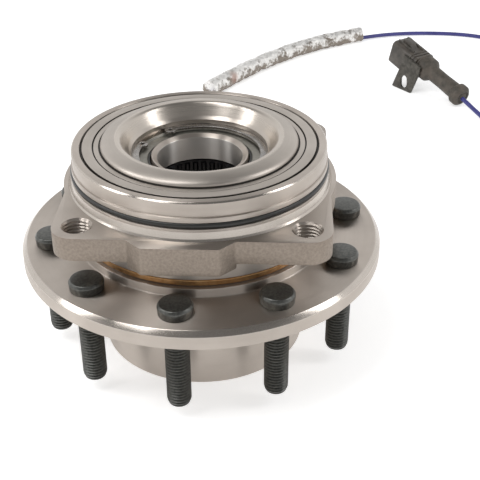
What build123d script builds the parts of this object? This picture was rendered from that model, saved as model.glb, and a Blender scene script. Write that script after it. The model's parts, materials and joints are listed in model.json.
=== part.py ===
from build123d import *
import os
from math import asin, atan, cos, degrees, hypot, pi, radians, sin, sqrt, tan

# Front wheel hub bearing of a truck: a ten-stud hub turning on two rows of tapered
# rollers inside a four-eared housing, with its wheel speed sensor and lead.
# Millimetres. The origin is on the hub axis at the face that the wheel bolts to.
# +Z runs towards the vehicle; the hub stands on the end of its nose, which points down.
# The sensor is at +Y, and -Y is the side that faces the viewer.

# Fits shared by every piece
fit_gap = 0.05          # between pieces of one body that are pressed or slid together
cut_margin = 1.0        # by which a cutting shape runs past the face it opens
field_size = 3000.0     # square that holds the whole assembly with its lead
running_gap = 0.3       # between faces that turn past each other
roller_gap = 0.12       # between a roller and its raceways or pocket

# Wheel flange and nose of the hub
flange_radius = 108.0
flange_thickness = 11.0
flange_chamfer = 2.8
edge_break = 1.0
step_rise = 0.9         # of the step's radius above the drum's
step_height = 5.5
nose_radius = 62.45
nose_length = 59.5
nose_wall = 7.95
nose_mouth_chamfer = 1.5
clip_groove_width = 2.6
clip_groove_depth = 2.0
clip_groove_setback = 12.0
spline_run_in = 6.0     # plain bore between the snap ring's groove and the spline
spline_step = 2.5       # of the spline's root below the nose's bore
spline_tooth_height = 2.6
spline_tooth_width = 5.0
spline_count = 24
spline_length = 27.0
web_bore_radius = 36.0
web_bore_length = 18.0

# Wheel studs
stud_count = 10
stud_circle_radius = 90.0
stud_phase = 4.8        # degrees from -Y towards -X
stud_radius = 7.0
stud_reach = 50.0       # below the wheel face
stud_tip_chamfer = 1.8
stud_serration = 0.3    # of the pressed part in the flange over the shank's radius
stud_plain_length = 4.0 # between the wheel face and the thread
thread_pitch = 2.0
thread_depth = 1.2
thread_crest = 0.3      # flat left on each turn
stud_head_radius = 9.9
stud_head_height = 6.8
stud_head_chamfer = 1.1

# Barrel of the hub, which carries the bearing cones and ends in a thin lipped neck
barrel_radius = 42.0
shoulder_rise = 12.0    # of the cone's shoulder above the barrel
shoulder_height = 2.1
lip_overhang = 4.5      # of the rolled lip over the barrel
lip_height = 2.0
lip_rim_width = 1.0     # flat of the lip inside the barrel's radius
barrel_top_drop = 0.6   # the barrel's end face lies this far below its rolled lip
axle_bore_radius = 25.0
axle_land_length = 13.8
neck_radius = 28.4
neck_height = 6.4       # above the rolled lip
neck_rim_width = 1.1
neck_flare_height = 2.3

# Tapered rollers, cones and cups; the second row is the mirror image of the first
cone_section = 12.0     # from the barrel out to the middle of a roller
row_offset = 9.35       # from the bearing's middle plane to the middle of a row
roller_tilt = 15.0      # degrees between a roller's axis and the hub axis
roller_radius = 5.0     # at the middle of its length
roller_length = 9.2
roller_count = 26
cone_width = 17.0
cone_rib_drop = 1.0     # of the back rib below the rollers' pitch circle
cone_small_rib_height = 1.0
cone_small_rib_width = 1.3
cone_front_wall = 5.0
cup_edge_wall = 4.4     # of a cup at the thin end of its taper
cup_width = 8.2
cage_thickness = 1.5
cage_offset = 1.4       # of the cage's middle from the rollers' axes, outwards
cage_end_width = 1.6

# Wheel speed ring between the rows
tone_rise = 4.0         # of the ring's rim above the rollers' pitch circle
tone_width = 4.0
tone_tooth_count = 44
tone_slot_depth = 3.0

# Needle bearing for the axle shaft, below the polished land of the bore
needle_radius = 1.6
needle_count = 32
needle_cup_wall = 1.3
needle_cup_length = 20.0
needle_end_space = 1.6

# Housing: a drum with a knuckle pilot above and a flange with four ears
drum_rise = 0.5         # of the drum above the knuckle pilot's radius
drum_chamfer = 1.0
ear_top_rise = 11.9     # of the mounting face above the bearing's middle plane
ear_thickness = 13.8
ear_margin = 13.775     # from a bolt hole's middle to the ear's edge
ear_corner_radius = 13.5
waist_rise = 5.5        # of the flange's round waist above the drum
bolt_circle_rise = 8.0  # above the waist
bolt_hole_radius = 7.2
bolt_hole_chamfer = 0.6
pad_rise = 4.5          # of a pad's face above the waist
pad_half_width = 20.8
pad_offset = 4.8        # of the front pad's middle towards -X
pad_slope_width = 8.5
front_pad_thickness = 16.5
sensor_pad_thickness = 22.9
inner_land_half_width = 3.7
inner_land_depth = 3.5  # below the cups' bore
fillet_rise = 3.2       # above the pilot's radius, where it meets the mounting face
fillet_height = 1.1
foot_rise = 2.4
foot_height = 3.6
seat_rise = 1.2
seat_height = 1.6
o_ring_groove_depth = 2.7
o_ring_groove_width = 3.5
guide_rise = 0.7
guide_height = 3.1
pilot_step_height = 0.5
pilot_rim_width = 4.8   # wall of the pilot outside the cover
pilot_height = 8.3
pilot_chamfer = 0.9
o_ring_section = 1.72   # radius of its section
root_overlap = 2.0      # of the flange's inner edge into the drum

# Dished inboard cover, with the axle seal and its retaining ring in the throat
cover_ledge = 4.7       # from the cups' bore out to the cover's bore
cover_rim_height = 4.1
cover_chamfer = 0.45
cover_band_width = 7.2
cover_band_drop = 0.4
bead_foot_width = 5.4
bead_foot_rise = 1.1    # above the cover's rim face
bead_step = 0.8
bead_shoulder_width = 4.1
bead_shoulder_rise = 3.9
dish_width = 7.55       # from the throat out to the crest
crest_flat = 1.4
crest_round = 1.6
crest_round_drop = 1.0
crest_rise = 4.6
throat_step = 1.15      # of the throat's radius above the seal's seat
throat_edge_width = 0.7
throat_edge_height = 0.8
throat_drop = 4.7       # of the throat's edge below the cover's rim face
cover_wall = 2.6
throat_wall = 3.95
throat_wall_rise = 1.5  # of the wall's outer corner above the throat's edge
throat_length = 9.1
seal_section = 10.1     # from the hub's neck out to the seal's seat
seal_stop_width = 2.0
seal_stop_height = 0.8
clip_groove_depth_in_throat = 1.65
clip_thickness = 1.8
clip_drop = 2.5         # of the ring's top below the throat's edge
clip_width = 6.0
clip_lug_radius = 3.6
clip_lug_hole_radius = 1.3
clip_gap_angle = 40.0   # between the lugs' middles, degrees
clip_turn = 144.0       # direction of the middle of the ring's gap, degrees

# Seals
axle_seal_lip_gap = 1.0 # from the neck to the lip's face
axle_seal_lip_taper = 1.2
axle_seal_face_drop = 1.2
axle_seal_rim_width = 1.6
axle_seal_lip_width = 4.1
seal_case_height = 4.2
seal_case_gap = 0.7     # between the seal's case and the hub's step
seal_lip_reach = 5.5    # from the wear sleeve out to the seal's case
seal_dish_rise = 1.0
seal_dish_width = 4.0
seal_lip_drop = 0.1
seal_spigot_height = 2.0
seal_spigot_wall = 1.9
seal_skin = 1.3
wear_sleeve_wall = 1.2
wear_sleeve_height = 4.0

# Wheel speed sensor in the rear pad
sensor_radius = 7.0
sensor_tip_radius = 3.5
sensor_shoulder_rise = 2.0  # above the cups' bore
sensor_tip_gap = 0.9    # to the teeth of the speed ring
sensor_head_width = 23.0
sensor_head_height = 19.0
sensor_head_depth = 13.0
sensor_head_corner = 5.0
sensor_ear_margin = 4.5
sensor_ear_thickness = 6.0
sensor_screw_offset = 17.5
sensor_screw_radius = 3.0
sensor_screw_depth = 12.0
screw_head_radius = 5.0
screw_head_height = 4.0
screw_socket_radius = 2.5
sensor_ring_section = 0.9
sensor_ring_depth = 8.0     # of the ring's middle below the pad's face
relief_length = 20.0
relief_root_radius = 4.6
relief_tip_radius = 3.1
relief_grip_depth = 16.0    # of the lead in the relief

# Lead, its heat sleeve, and the connector on its far end
lead_radius = 2.0
sleeve_radius = 7.2
sleeve_wall = 0.8
boot_radius = 7.5
boot_length = 36.0
boot_collar_radius = 9.6
boot_collar_length = 9.0
boot_bulge_radius = 11.5
boot_bulge_length = 13.0
boot_grip_depth = 6.0   # of the lead in the collar
boot_edge = 1.0         # of its rounded edges
boot_flare = 3.0        # length of the neck that widens into the bulge
spigot_width = 15.0     # of the shell's stub inside the boot
spigot_height = 12.0
spigot_length = 11.0
shell_width = 24.0
shell_height = 24.0
shell_drop = 3.5        # of the shell's middle below the boot's axis
shell_length = 34.0
shell_wall = 2.2
shell_mouth_depth = 20.0
shell_corner = 4.0
latch_width = 7.0
latch_height = 3.0
latch_length = 15.0
latch_setback = 4.0     # from the shell's open end
terminal_width = 2.2
terminal_thickness = 0.9
terminal_length = 12.0      # clear of the mouth's floor
terminal_root = 3.0         # in the shell
terminal_spread = 3.4
tab_length = 24.0
tab_thickness = 2.4
tab_start = 48.0        # from the boot's collar, along the connector
tab_grip_height = 9.0   # of the leaf that lies on the shell's side
tab_bend_drop = 3.0     # of the bend below the boot's axis
tab_lean = 10.0         # degrees that the lower leaf leans out
tab_hole_width = 7.0
tab_hole_height = 11.0
tab_hole_drop = 11.0    # of the hole's middle below the bend

# Heights worked out from the chain of pieces along the hub axis
step_top = flange_thickness + step_height
cone_back = step_top + shoulder_height
middle = cone_back + cone_width
lip_top = middle + cone_width + lip_height
barrel_top = lip_top - barrel_top_drop
neck_top = lip_top + neck_height
land_bottom = neck_top - neck_flare_height - axle_land_length
drum_bottom = step_top + seal_case_gap + seal_case_height
ear_top = middle + ear_top_rise
groove_bottom = ear_top + fillet_height + foot_height + seat_height
pilot_foot = groove_bottom + o_ring_groove_width + guide_height + pilot_step_height
pilot_top = pilot_foot + pilot_height
cover_seat = pilot_top - cover_rim_height
throat_edge = pilot_top - throat_drop
throat_bottom = throat_edge - throat_length
clip_top = throat_edge - clip_drop
clip_bottom = clip_top - clip_thickness
floor_height = -nose_length
clip_groove_low = floor_height + clip_groove_setback
clip_groove_high = clip_groove_low + clip_groove_width
spline_low = clip_groove_high + spline_run_in
web_bottom = spline_low + spline_length
cup_top = middle - inner_land_half_width
cup_bottom = cup_top - cup_width


def turned(points):
    """Solid of revolution about the hub axis from a closed (radius, height) outline."""
    outline = Polyline([(radius, 0, height) for radius, height in points], close=True)
    return revolve(make_face(outline), Axis.Z, 360)


def ring(inner, outer, bottom, top):
    """Plain ring about the hub axis."""
    return turned([(inner, bottom), (outer, bottom), (outer, top), (inner, top)])


def around(shape, count, start=0.0):
    """Copies of a shape, evenly spaced about the hub axis."""
    return [Rot(0, 0, start + 360.0 * index / count) * shape for index in range(count)]


def upright(radius, bottom, top, x=0.0, y=0.0):
    """Cylinder that stands on the height bottom at (x, y)."""
    height = top - bottom
    return Pos(x, y, bottom + height / 2) * Cylinder(radius, height)


def mirrored(shape):
    """The second bearing row's copy of a piece of the first."""
    return mirror(shape, about=Plane.XY.offset(middle))


# Geometry of a tapered row: every raceway and roller points at one apex on the hub axis
pitch_radius = barrel_radius + cone_section
row_height = middle - row_offset
tilt = radians(roller_tilt)
apex_distance = pitch_radius / sin(tilt)
half_roller = roller_length / 2


def roller_size(along):
    """Radius of a roller at a distance along its axis, positive towards the small end."""
    return roller_radius * (1 - along / apex_distance)


def row_point(along, out):
    """(radius, height) of a point placed along a roller's axis and square to it."""
    radius = pitch_radius - along * sin(tilt) + out * cos(tilt)
    return radius, row_height + along * cos(tilt) + out * sin(tilt)


def roller_plane():
    """Plane at the middle of one roller, with its Z axis towards the small end."""
    small_end = (-sin(tilt), 0, cos(tilt))
    return Plane(origin=(pitch_radius, 0, row_height), x_dir=(0, 1, 0), z_dir=small_end)


def cup_raceway(height):
    """Radius of the outboard cup's tapered bore at a height."""
    radius, level = row_point(0, roller_radius + roller_gap)
    return radius - (height - level) * tan(tilt + atan(roller_radius / apex_distance))


# Radii worked out from the bearing outwards, and from the neck outwards
nose_bore_radius = nose_radius - nose_wall
spline_root_radius = nose_bore_radius - spline_step
spline_tip_radius = spline_root_radius - spline_tooth_height
shoulder_radius = barrel_radius + shoulder_rise
lip_radius = barrel_radius + lip_overhang
cone_rib_radius = pitch_radius - cone_rib_drop
cone_front_radius = barrel_radius + cone_front_wall
tone_radius = pitch_radius + tone_rise
cup_radius = round(cup_raceway(cup_bottom) + cup_edge_wall, 1)
inner_land_radius = cup_radius - inner_land_depth
cover_radius = cup_radius + cover_ledge
pilot_radius = cover_radius + pilot_rim_width
drum_radius = pilot_radius + drum_rise
fillet_radius = pilot_radius + fillet_rise
foot_radius = pilot_radius + foot_rise
seat_radius = pilot_radius + seat_rise
guide_radius = pilot_radius + guide_rise
o_ring_groove_radius = guide_radius - o_ring_groove_depth
waist_radius = drum_radius + waist_rise
bolt_circle_radius = waist_radius + bolt_circle_rise
hole_place = bolt_circle_radius / sqrt(2)
ear_half_size = hole_place + ear_margin
pad_reach = waist_radius + pad_rise
step_radius = drum_radius + step_rise
seal_seat_radius = neck_radius + seal_section
seal_stop_radius = seal_seat_radius - seal_stop_width
throat_radius = seal_seat_radius + throat_step
clip_groove_radius = throat_radius + clip_groove_depth_in_throat
clip_inner_radius = clip_groove_radius - clip_width
crest_radius = throat_radius + dish_width
bead_shoulder_radius = crest_radius + bead_shoulder_width
bead_foot_radius = bead_shoulder_radius + bead_foot_width
cover_band_radius = cover_radius - cover_band_width
axle_seal_lip_radius = neck_radius + axle_seal_lip_gap
axle_seal_case_radius = neck_radius + axle_seal_lip_width
seal_contact_radius = shoulder_radius + wear_sleeve_wall + running_gap
seal_case_inner_radius = seal_contact_radius + seal_lip_reach


def make_hub():
    """Forged hub: wheel flange, hollow splined nose, and the barrel for the bearing."""
    seat = needle_seat_radius()
    lip_inner = barrel_radius - lip_rim_width
    outline = [
        (nose_bore_radius + nose_mouth_chamfer, floor_height),
        (nose_radius - edge_break, floor_height),
        (nose_radius, floor_height + edge_break),
        (nose_radius, 0),
        (flange_radius - edge_break, 0),
        (flange_radius, edge_break),
        (flange_radius, flange_thickness - flange_chamfer),
        (flange_radius - flange_chamfer, flange_thickness),
        (step_radius, flange_thickness),
        (step_radius, step_top),
        (shoulder_radius, step_top),
        (shoulder_radius, cone_back),
        (barrel_radius, cone_back),
        (barrel_radius, lip_top - lip_height),
        (lip_radius, lip_top - lip_height),
        (lip_radius, lip_top - lip_height / 2),
        (lip_radius - lip_height / 2, lip_top),
        (lip_inner, lip_top),
        (lip_inner - barrel_top_drop, barrel_top),
        (neck_radius, barrel_top),
        (neck_radius, neck_top),
        (neck_radius - neck_rim_width, neck_top),
        (axle_bore_radius, neck_top - neck_flare_height),
        (axle_bore_radius, land_bottom),
        (seat, land_bottom),
        (seat, web_bottom + web_bore_length),
        (web_bore_radius, web_bottom + web_bore_length),
        (web_bore_radius, web_bottom),
        (spline_tip_radius, web_bottom),
        (spline_tip_radius, spline_low),
        (nose_bore_radius, spline_low),
        (nose_bore_radius, clip_groove_high),
        (nose_bore_radius + clip_groove_depth, clip_groove_high),
        (nose_bore_radius + clip_groove_depth, clip_groove_low),
        (nose_bore_radius, clip_groove_low),
        (nose_bore_radius, floor_height + nose_mouth_chamfer),
    ]
    hub = turned(outline)
    hole_radius = stud_radius + stud_serration + fit_gap
    hole = upright(hole_radius, -cut_margin, flange_thickness + cut_margin, 0, -stud_circle_radius)
    return hub - around(hole, stud_count, -stud_phase) - spline_slots()


def spline_slots():
    """Slots that leave the square teeth of the nose's inner spline."""
    pitch = 2 * pi * spline_tip_radius / spline_count
    depth = 2 * spline_tooth_height
    slot = Box(depth, pitch - spline_tooth_width, spline_length)
    place = Pos(spline_root_radius - depth / 2, 0, spline_low + spline_length / 2)
    return around(place * slot, spline_count)


def thread_outline(low, high):
    """Flanks of a thread on a stud, as rings from low to high: crest, root, crest for each turn."""
    turns = int((high - low) / thread_pitch)
    root = stud_radius - thread_depth
    open_width = thread_pitch - thread_crest
    points = []
    for turn in range(turns):
        start = high - (turns - turn) * thread_pitch
        points.append((stud_radius, start))
        points.append((root, start + open_width / 2))
        points.append((stud_radius, start + open_width))
    return points


def make_studs():
    """Ten wheel studs: domed head, serrated part in the flange, threaded shank below the wheel face."""
    tip = -stud_reach
    head_top = flange_thickness + stud_head_height
    serrated_radius = stud_radius + stud_serration
    outline = [
        (0, tip),
        (stud_radius - stud_tip_chamfer, tip),
        (stud_radius, tip + stud_tip_chamfer),
        *thread_outline(tip + stud_tip_chamfer, -stud_plain_length),
        (stud_radius, 0),
        (serrated_radius, 0),
        (serrated_radius, flange_thickness),
        (stud_head_radius, flange_thickness),
        (stud_head_radius, head_top - stud_head_chamfer),
        (stud_head_radius - stud_head_chamfer, head_top),
        (0, head_top),
    ]
    stud = Pos(0, -stud_circle_radius, 0) * turned(outline)
    return around(stud, stud_count, -stud_phase)


def make_cone():
    """Outboard inner race: back rib, tapered raceway, small rib and a plain front end."""
    end = half_roller + roller_gap
    rib_out = (cone_rib_radius - pitch_radius - end * sin(tilt)) / cos(tilt)
    small_rib = row_point(end, -roller_size(end) - roller_gap + cone_small_rib_height)
    front = small_rib[1] + cone_small_rib_width
    return turned([
        (barrel_radius + fit_gap, cone_back),
        (cone_rib_radius, cone_back),
        row_point(-end, rib_out),
        row_point(-end, -roller_size(-end) - roller_gap),
        row_point(end, -roller_size(end) - roller_gap),
        small_rib,
        (small_rib[0], front),
        (cone_front_radius, front),
        (cone_front_radius, middle),
        (barrel_radius + fit_gap, middle),
    ])


def make_cup():
    """Outboard outer race: a ring with a tapered bore."""
    return turned([
        (cup_raceway(cup_bottom), cup_bottom),
        (cup_radius - fit_gap, cup_bottom),
        (cup_radius - fit_gap, cup_top),
        (cup_raceway(cup_top), cup_top),
    ])


def make_rollers():
    """One row of tapered rollers."""
    roller = Cone(roller_size(-half_roller), roller_size(half_roller), roller_length)
    return around(roller_plane() * roller, roller_count)


def make_cage():
    """Coned cage with a window for each roller."""
    inner = cage_offset - cage_thickness / 2
    outer = cage_offset + cage_thickness / 2
    end = half_roller + roller_gap + cage_end_width
    corners = [(-end, inner), (-end, outer), (end, outer), (end, inner)]
    band = turned([row_point(along, out) for along, out in corners])
    half_window = sqrt(roller_size(-half_roller) ** 2 - inner ** 2) + roller_gap
    window_depth = 4 * cage_thickness + 2 * cage_offset
    window = Box(2 * half_window, window_depth, roller_length + 2 * roller_gap)
    return band - around(roller_plane() * window, roller_count)


def make_tone_ring():
    """Speed ring pressed over the joint of the two cones, with slots that leave square teeth."""
    low = middle - tone_width / 2
    high = middle + tone_width / 2
    disc = ring(cone_front_radius + fit_gap, tone_radius, low, high)
    slot_width = pi * tone_radius / tone_tooth_count
    slot = Pos(tone_radius, 0, middle) * Box(2 * tone_slot_depth, slot_width, 2 * tone_width)
    return disc - around(slot, tone_tooth_count)


def needle_circle():
    """Radius of the circle that the needles' axes lie on."""
    return axle_bore_radius + fit_gap + needle_radius


def needle_seat_radius():
    """Radius of the bore that the needle cup is pressed into."""
    return needle_circle() + needle_radius + roller_gap + needle_cup_wall + fit_gap


def make_needle_cup():
    """Drawn cup, open inside, with its two ends turned in."""
    outer = needle_seat_radius() - fit_gap
    inner = outer - needle_cup_wall
    low = land_bottom - needle_cup_length
    lip = needle_circle() + needle_radius / 4
    return turned([
        (lip, low), (outer, low), (outer, land_bottom), (lip, land_bottom),
        (lip, land_bottom - needle_cup_wall), (inner, land_bottom - needle_cup_wall),
        (inner, low + needle_cup_wall), (lip, low + needle_cup_wall),
    ])


def needle_span():
    """Lowest and highest point of the needles."""
    low = land_bottom - needle_cup_length + needle_cup_wall + needle_end_space
    return low, land_bottom - needle_cup_wall - needle_end_space


def make_needles():
    """Ring of needle rollers about the axle shaft's place."""
    low, high = needle_span()
    return around(upright(needle_radius, low, high, needle_circle()), needle_count)


def make_needle_cage():
    """Thin cage that keeps the needles apart."""
    low, high = needle_span()
    low_end = low - needle_end_space + roller_gap
    high_end = high + needle_end_space - roller_gap
    inner = needle_circle() - needle_radius / 4
    band = ring(inner, needle_circle() + needle_radius / 2, low_end, high_end)
    window_height = high - low + 2 * roller_gap
    window = Box(4 * needle_radius, 2 * (needle_radius + roller_gap), window_height)
    return band - around(Pos(needle_circle(), 0, (low + high) / 2) * window, needle_count)


def pad(thickness, turn):
    """Sloped pad that stands out of the ears' edge, flush with the mounting face."""
    half = pad_half_width
    slope = pad_slope_width
    corners = [(-half - slope, 0), (half + slope, 0), (half + slope, pad_reach - slope),
               (half, pad_reach), (-half, pad_reach), (-half - slope, pad_reach - slope)]
    outline = Polyline([(x + pad_offset, y, 0) for x, y in corners], close=True)
    return Pos(0, 0, ear_top - thickness) * Rot(0, 0, turn) * extrude(make_face(outline), thickness)


def make_housing():
    """Forged housing: drum, four-eared flange with two pads, and the turned knuckle pilot."""
    land_low = middle - inner_land_half_width
    land_high = middle + inner_land_half_width
    drum = turned([
        (cup_radius, drum_bottom),
        (drum_radius - drum_chamfer, drum_bottom),
        (drum_radius, drum_bottom + drum_chamfer),
        (drum_radius, ear_top - ear_thickness / 2),
        (fillet_radius, ear_top - ear_thickness / 2),
        (fillet_radius, ear_top),
        (foot_radius, ear_top + fillet_height),
        (seat_radius, ear_top + fillet_height + foot_height),
        (seat_radius, groove_bottom),
        (o_ring_groove_radius, groove_bottom),
        (o_ring_groove_radius, groove_bottom + o_ring_groove_width),
        (guide_radius, groove_bottom + o_ring_groove_width),
        (guide_radius, pilot_foot - pilot_step_height),
        (pilot_radius, pilot_foot),
        (pilot_radius, pilot_top - pilot_chamfer),
        (pilot_radius - pilot_chamfer, pilot_top),
        (cover_radius + cover_chamfer, pilot_top),
        (cover_radius, pilot_top - cover_chamfer),
        (cover_radius, cover_seat),
        (cup_radius, cover_seat),
        (cup_radius, land_high),
        (inner_land_radius, land_high),
        (inner_land_radius, land_low),
        (cup_radius, land_low),
    ])
    ear_bottom = ear_top - ear_thickness
    body = Rectangle(2 * ear_half_size, 2 * ear_half_size)
    ears = fillet(body.vertices(), ear_corner_radius) + Circle(waist_radius)
    flange = Pos(0, 0, ear_bottom) * extrude(ears, ear_thickness)
    front = pad(front_pad_thickness, 180)
    rear = pad(sensor_pad_thickness, 0)
    clearance = upright(fillet_radius - root_overlap, drum_bottom, pilot_top)
    housing = drum + ((flange + front + rear) - clearance)
    for x in (-hole_place, hole_place):
        for y in (-hole_place, hole_place):
            housing -= upright(bolt_hole_radius, ear_bottom - cut_margin, ear_top + cut_margin, x, y)
            mouth = Cone(bolt_hole_radius, bolt_hole_radius + bolt_hole_chamfer, bolt_hole_chamfer)
            housing -= Pos(x, y, ear_top - bolt_hole_chamfer / 2) * mouth
    return housing - sensor_bores()


def outward(radius, inner, outer, x=0.0):
    """Cylinder that points along +Y at the height of the sensor, from inner to outer."""
    length = outer - inner
    return Pos(x, inner + length / 2, middle) * Rot(-90, 0, 0) * Cylinder(radius, length)


def sensor_bores():
    """Stepped bore of the sensor and the tapped hole of its screw, in the rear pad."""
    shoulder = cup_radius + sensor_shoulder_rise
    screw_bottom = pad_reach - sensor_screw_depth - cut_margin
    outside = pad_reach + cut_margin
    return [
        outward(sensor_radius + fit_gap, shoulder, outside),
        outward(sensor_tip_radius + fit_gap, inner_land_radius - cut_margin, shoulder + cut_margin),
        outward(sensor_screw_radius + fit_gap, screw_bottom, outside, sensor_screw_offset),
    ]


def make_o_ring():
    """Rubber ring in the pilot's groove."""
    height = groove_bottom + o_ring_groove_width / 2
    return Pos(0, 0, height) * Torus(o_ring_groove_radius + fit_gap + o_ring_section, o_ring_section)


def make_cover():
    """Pressed-in cover: flat rim, raised bead, polished dish and a throat for the axle seal."""
    rim = pilot_top
    rise = rim + crest_rise
    outer = cover_radius - fit_gap
    return turned([
        (outer, cover_seat),
        (outer, rim - cover_chamfer),
        (outer - cover_chamfer, rim),
        (cover_band_radius, rim),
        (cover_band_radius, rim - cover_band_drop),
        (bead_foot_radius, rim + bead_foot_rise),
        (bead_foot_radius - bead_step / 2, rim + bead_foot_rise + bead_step),
        (bead_shoulder_radius, rim + bead_shoulder_rise),
        (crest_radius + crest_flat, rise),
        (crest_radius, rise),
        (crest_radius - crest_round, rise - crest_round_drop),
        (throat_radius + throat_edge_width, throat_edge + throat_edge_height),
        (throat_radius, throat_edge),
        (throat_radius, clip_top),
        (clip_groove_radius, clip_top),
        (clip_groove_radius, clip_bottom),
        (seal_seat_radius, clip_bottom),
        (seal_seat_radius, throat_bottom + seal_stop_height),
        (seal_stop_radius, throat_bottom + seal_stop_height),
        (seal_stop_radius, throat_bottom),
        (throat_radius + throat_wall, throat_bottom),
        (throat_radius + throat_wall, throat_edge + throat_wall_rise),
        (crest_radius, rise - cover_wall - crest_round_drop / 2),
        (bead_shoulder_radius, rim + bead_shoulder_rise - cover_wall),
        (bead_foot_radius, rim - cover_wall + bead_foot_rise),
        (cup_radius - 1.0, cover_seat),
    ])


def make_retaining_ring():
    """Internal retaining ring with two drilled lugs beside its gap."""
    height = (clip_top + clip_bottom) / 2
    thickness = clip_thickness - 2 * fit_gap
    outer = clip_groove_radius - fit_gap
    clip = ring(clip_inner_radius, outer, clip_bottom + fit_gap, clip_top - fit_gap)
    half_gap = clip_gap_angle / 2
    lug_circle = clip_inner_radius + clip_lug_radius / 3
    places = [Rot(0, 0, side * half_gap) * Pos(lug_circle, 0, height) for side in (-1, 1)]
    lugs = [place * Cylinder(clip_lug_radius, thickness) for place in places]
    keep = radians(half_gap - degrees(asin(clip_lug_radius / lug_circle / 2)))
    reach = 2 * outer
    half_mouth = reach * tan(keep)
    mouth = Polyline([(0, 0, 0), (reach, -half_mouth, 0), (reach, half_mouth, 0)], close=True)
    wedge = Pos(0, 0, clip_bottom) * extrude(make_face(mouth), clip_thickness)
    clip = (clip - wedge) + lugs
    holes = [place * Cylinder(clip_lug_hole_radius, clip_thickness) for place in places]
    return Rot(0, 0, clip_turn) * (clip - holes)


def make_axle_seal_case():
    """Ring-shaped steel case of the axle seal, held under the retaining ring."""
    outer = seal_seat_radius - fit_gap
    bottom = throat_bottom + seal_stop_height
    face = clip_bottom - axle_seal_face_drop
    return turned([
        (axle_seal_case_radius, bottom),
        (outer, bottom),
        (outer, clip_bottom),
        (outer - axle_seal_rim_width, clip_bottom),
        (outer - axle_seal_rim_width, face),
        (axle_seal_case_radius, face),
    ])


def make_axle_seal_lip():
    """Rubber lip moulded to the case, close round the hub's neck."""
    bottom = throat_bottom + seal_stop_height
    face = clip_bottom - axle_seal_face_drop
    return turned([
        (axle_seal_lip_radius + axle_seal_lip_taper, bottom),
        (axle_seal_case_radius, bottom),
        (axle_seal_case_radius, face),
        (axle_seal_lip_radius, face),
        (neck_radius + running_gap, (bottom + face) / 2),
    ])


def make_outboard_seal():
    """Coated case of the outboard seal, pressed into the foot of the drum."""
    bottom = step_top + seal_case_gap
    spigot = cup_radius - fit_gap
    inner = spigot - seal_spigot_wall
    return turned([
        (seal_case_inner_radius, bottom + seal_dish_rise),
        (seal_case_inner_radius + seal_dish_width, bottom),
        (drum_radius, bottom),
        (drum_radius, drum_bottom),
        (spigot, drum_bottom),
        (spigot, drum_bottom + seal_spigot_height),
        (inner, drum_bottom + seal_spigot_height),
        (inner, bottom + seal_dish_rise + seal_skin),
        (seal_case_inner_radius, bottom + seal_dish_rise + seal_skin),
    ])


def make_outboard_lip():
    """Rubber lip of the outboard seal, close round the wear sleeve."""
    low = step_top + seal_case_gap + seal_dish_rise
    return turned([
        (seal_contact_radius, low - seal_lip_drop),
        (seal_case_inner_radius, low),
        (seal_case_inner_radius, low + seal_skin),
        (seal_contact_radius, low + seal_skin - seal_lip_drop),
    ])


def make_wear_sleeve():
    """Hardened sleeve on the hub's shoulder, for the outboard lip to run on."""
    inner = shoulder_radius + fit_gap
    return ring(inner, shoulder_radius + wear_sleeve_wall, step_top, step_top + wear_sleeve_height)


def make_sensor():
    """Moulded speed sensor: stepped barrel in the pad, and a head with a screw ear."""
    tip = tone_radius + sensor_tip_gap
    shoulder = cup_radius + sensor_shoulder_rise + fit_gap
    barrel = outward(sensor_radius, shoulder, pad_reach)
    barrel += outward(sensor_tip_radius, tip, shoulder)
    groove_middle = pad_reach - sensor_ring_depth
    groove_low = groove_middle - sensor_ring_section
    groove_high = groove_middle + sensor_ring_section
    groove_floor = sensor_radius - 2 * sensor_ring_section + fit_gap
    groove = outward(sensor_radius + cut_margin, groove_low, groove_high)
    groove -= outward(groove_floor, groove_low - cut_margin, groove_high + cut_margin)
    block = RectangleRounded(sensor_head_width, sensor_head_height, sensor_head_corner)
    head = Pos(0, pad_reach, middle) * Rot(-90, 0, 0) * extrude(block, sensor_head_depth)
    ear_half = sensor_screw_radius + sensor_ear_margin
    ear_reach = sensor_screw_offset + ear_half
    ear_face = Pos(ear_reach / 2, 0) * RectangleRounded(ear_reach, 2 * ear_half, sensor_head_corner)
    ear = Pos(0, pad_reach, middle) * Rot(-90, 0, 0) * extrude(ear_face, sensor_ear_thickness)
    outer = pad_reach + sensor_head_depth + cut_margin
    hole = outward(sensor_screw_radius + fit_gap, pad_reach - cut_margin, outer, sensor_screw_offset)
    seat = pad_reach + sensor_ear_thickness
    head_room = outward(screw_head_radius + cut_margin, seat, outer, sensor_screw_offset)
    return barrel - groove + head + ear - hole - head_room


def make_sensor_ring():
    """Rubber ring on the sensor's barrel."""
    place = pad_reach - sensor_ring_depth
    circle = sensor_radius - sensor_ring_section + fit_gap / 2
    return Pos(0, place, middle) * Rot(-90, 0, 0) * Torus(circle, sensor_ring_section - fit_gap / 2)


def make_sensor_screw():
    """Socket screw through the sensor's ear into the pad."""
    seat = pad_reach + sensor_ear_thickness
    screw = outward(sensor_screw_radius, pad_reach - sensor_screw_depth, seat, sensor_screw_offset)
    screw += outward(screw_head_radius, seat, seat + screw_head_height, sensor_screw_offset)
    socket = extrude(RegularPolygon(screw_socket_radius, 6), screw_head_height)
    face = Pos(sensor_screw_offset, seat + screw_head_height / 2, middle) * Rot(-90, 0, 0)
    return screw - face * socket


def make_relief():
    """Tapered rubber relief where the lead leaves the sensor."""
    start = pad_reach + sensor_head_depth
    cone = Cone(relief_root_radius, relief_tip_radius, relief_length)
    relief = Pos(0, start + relief_length / 2, middle) * Rot(-90, 0, 0) * cone
    end = start + relief_length
    return relief - outward(lead_radius + fit_gap, end - relief_grip_depth, end + cut_margin)


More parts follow.
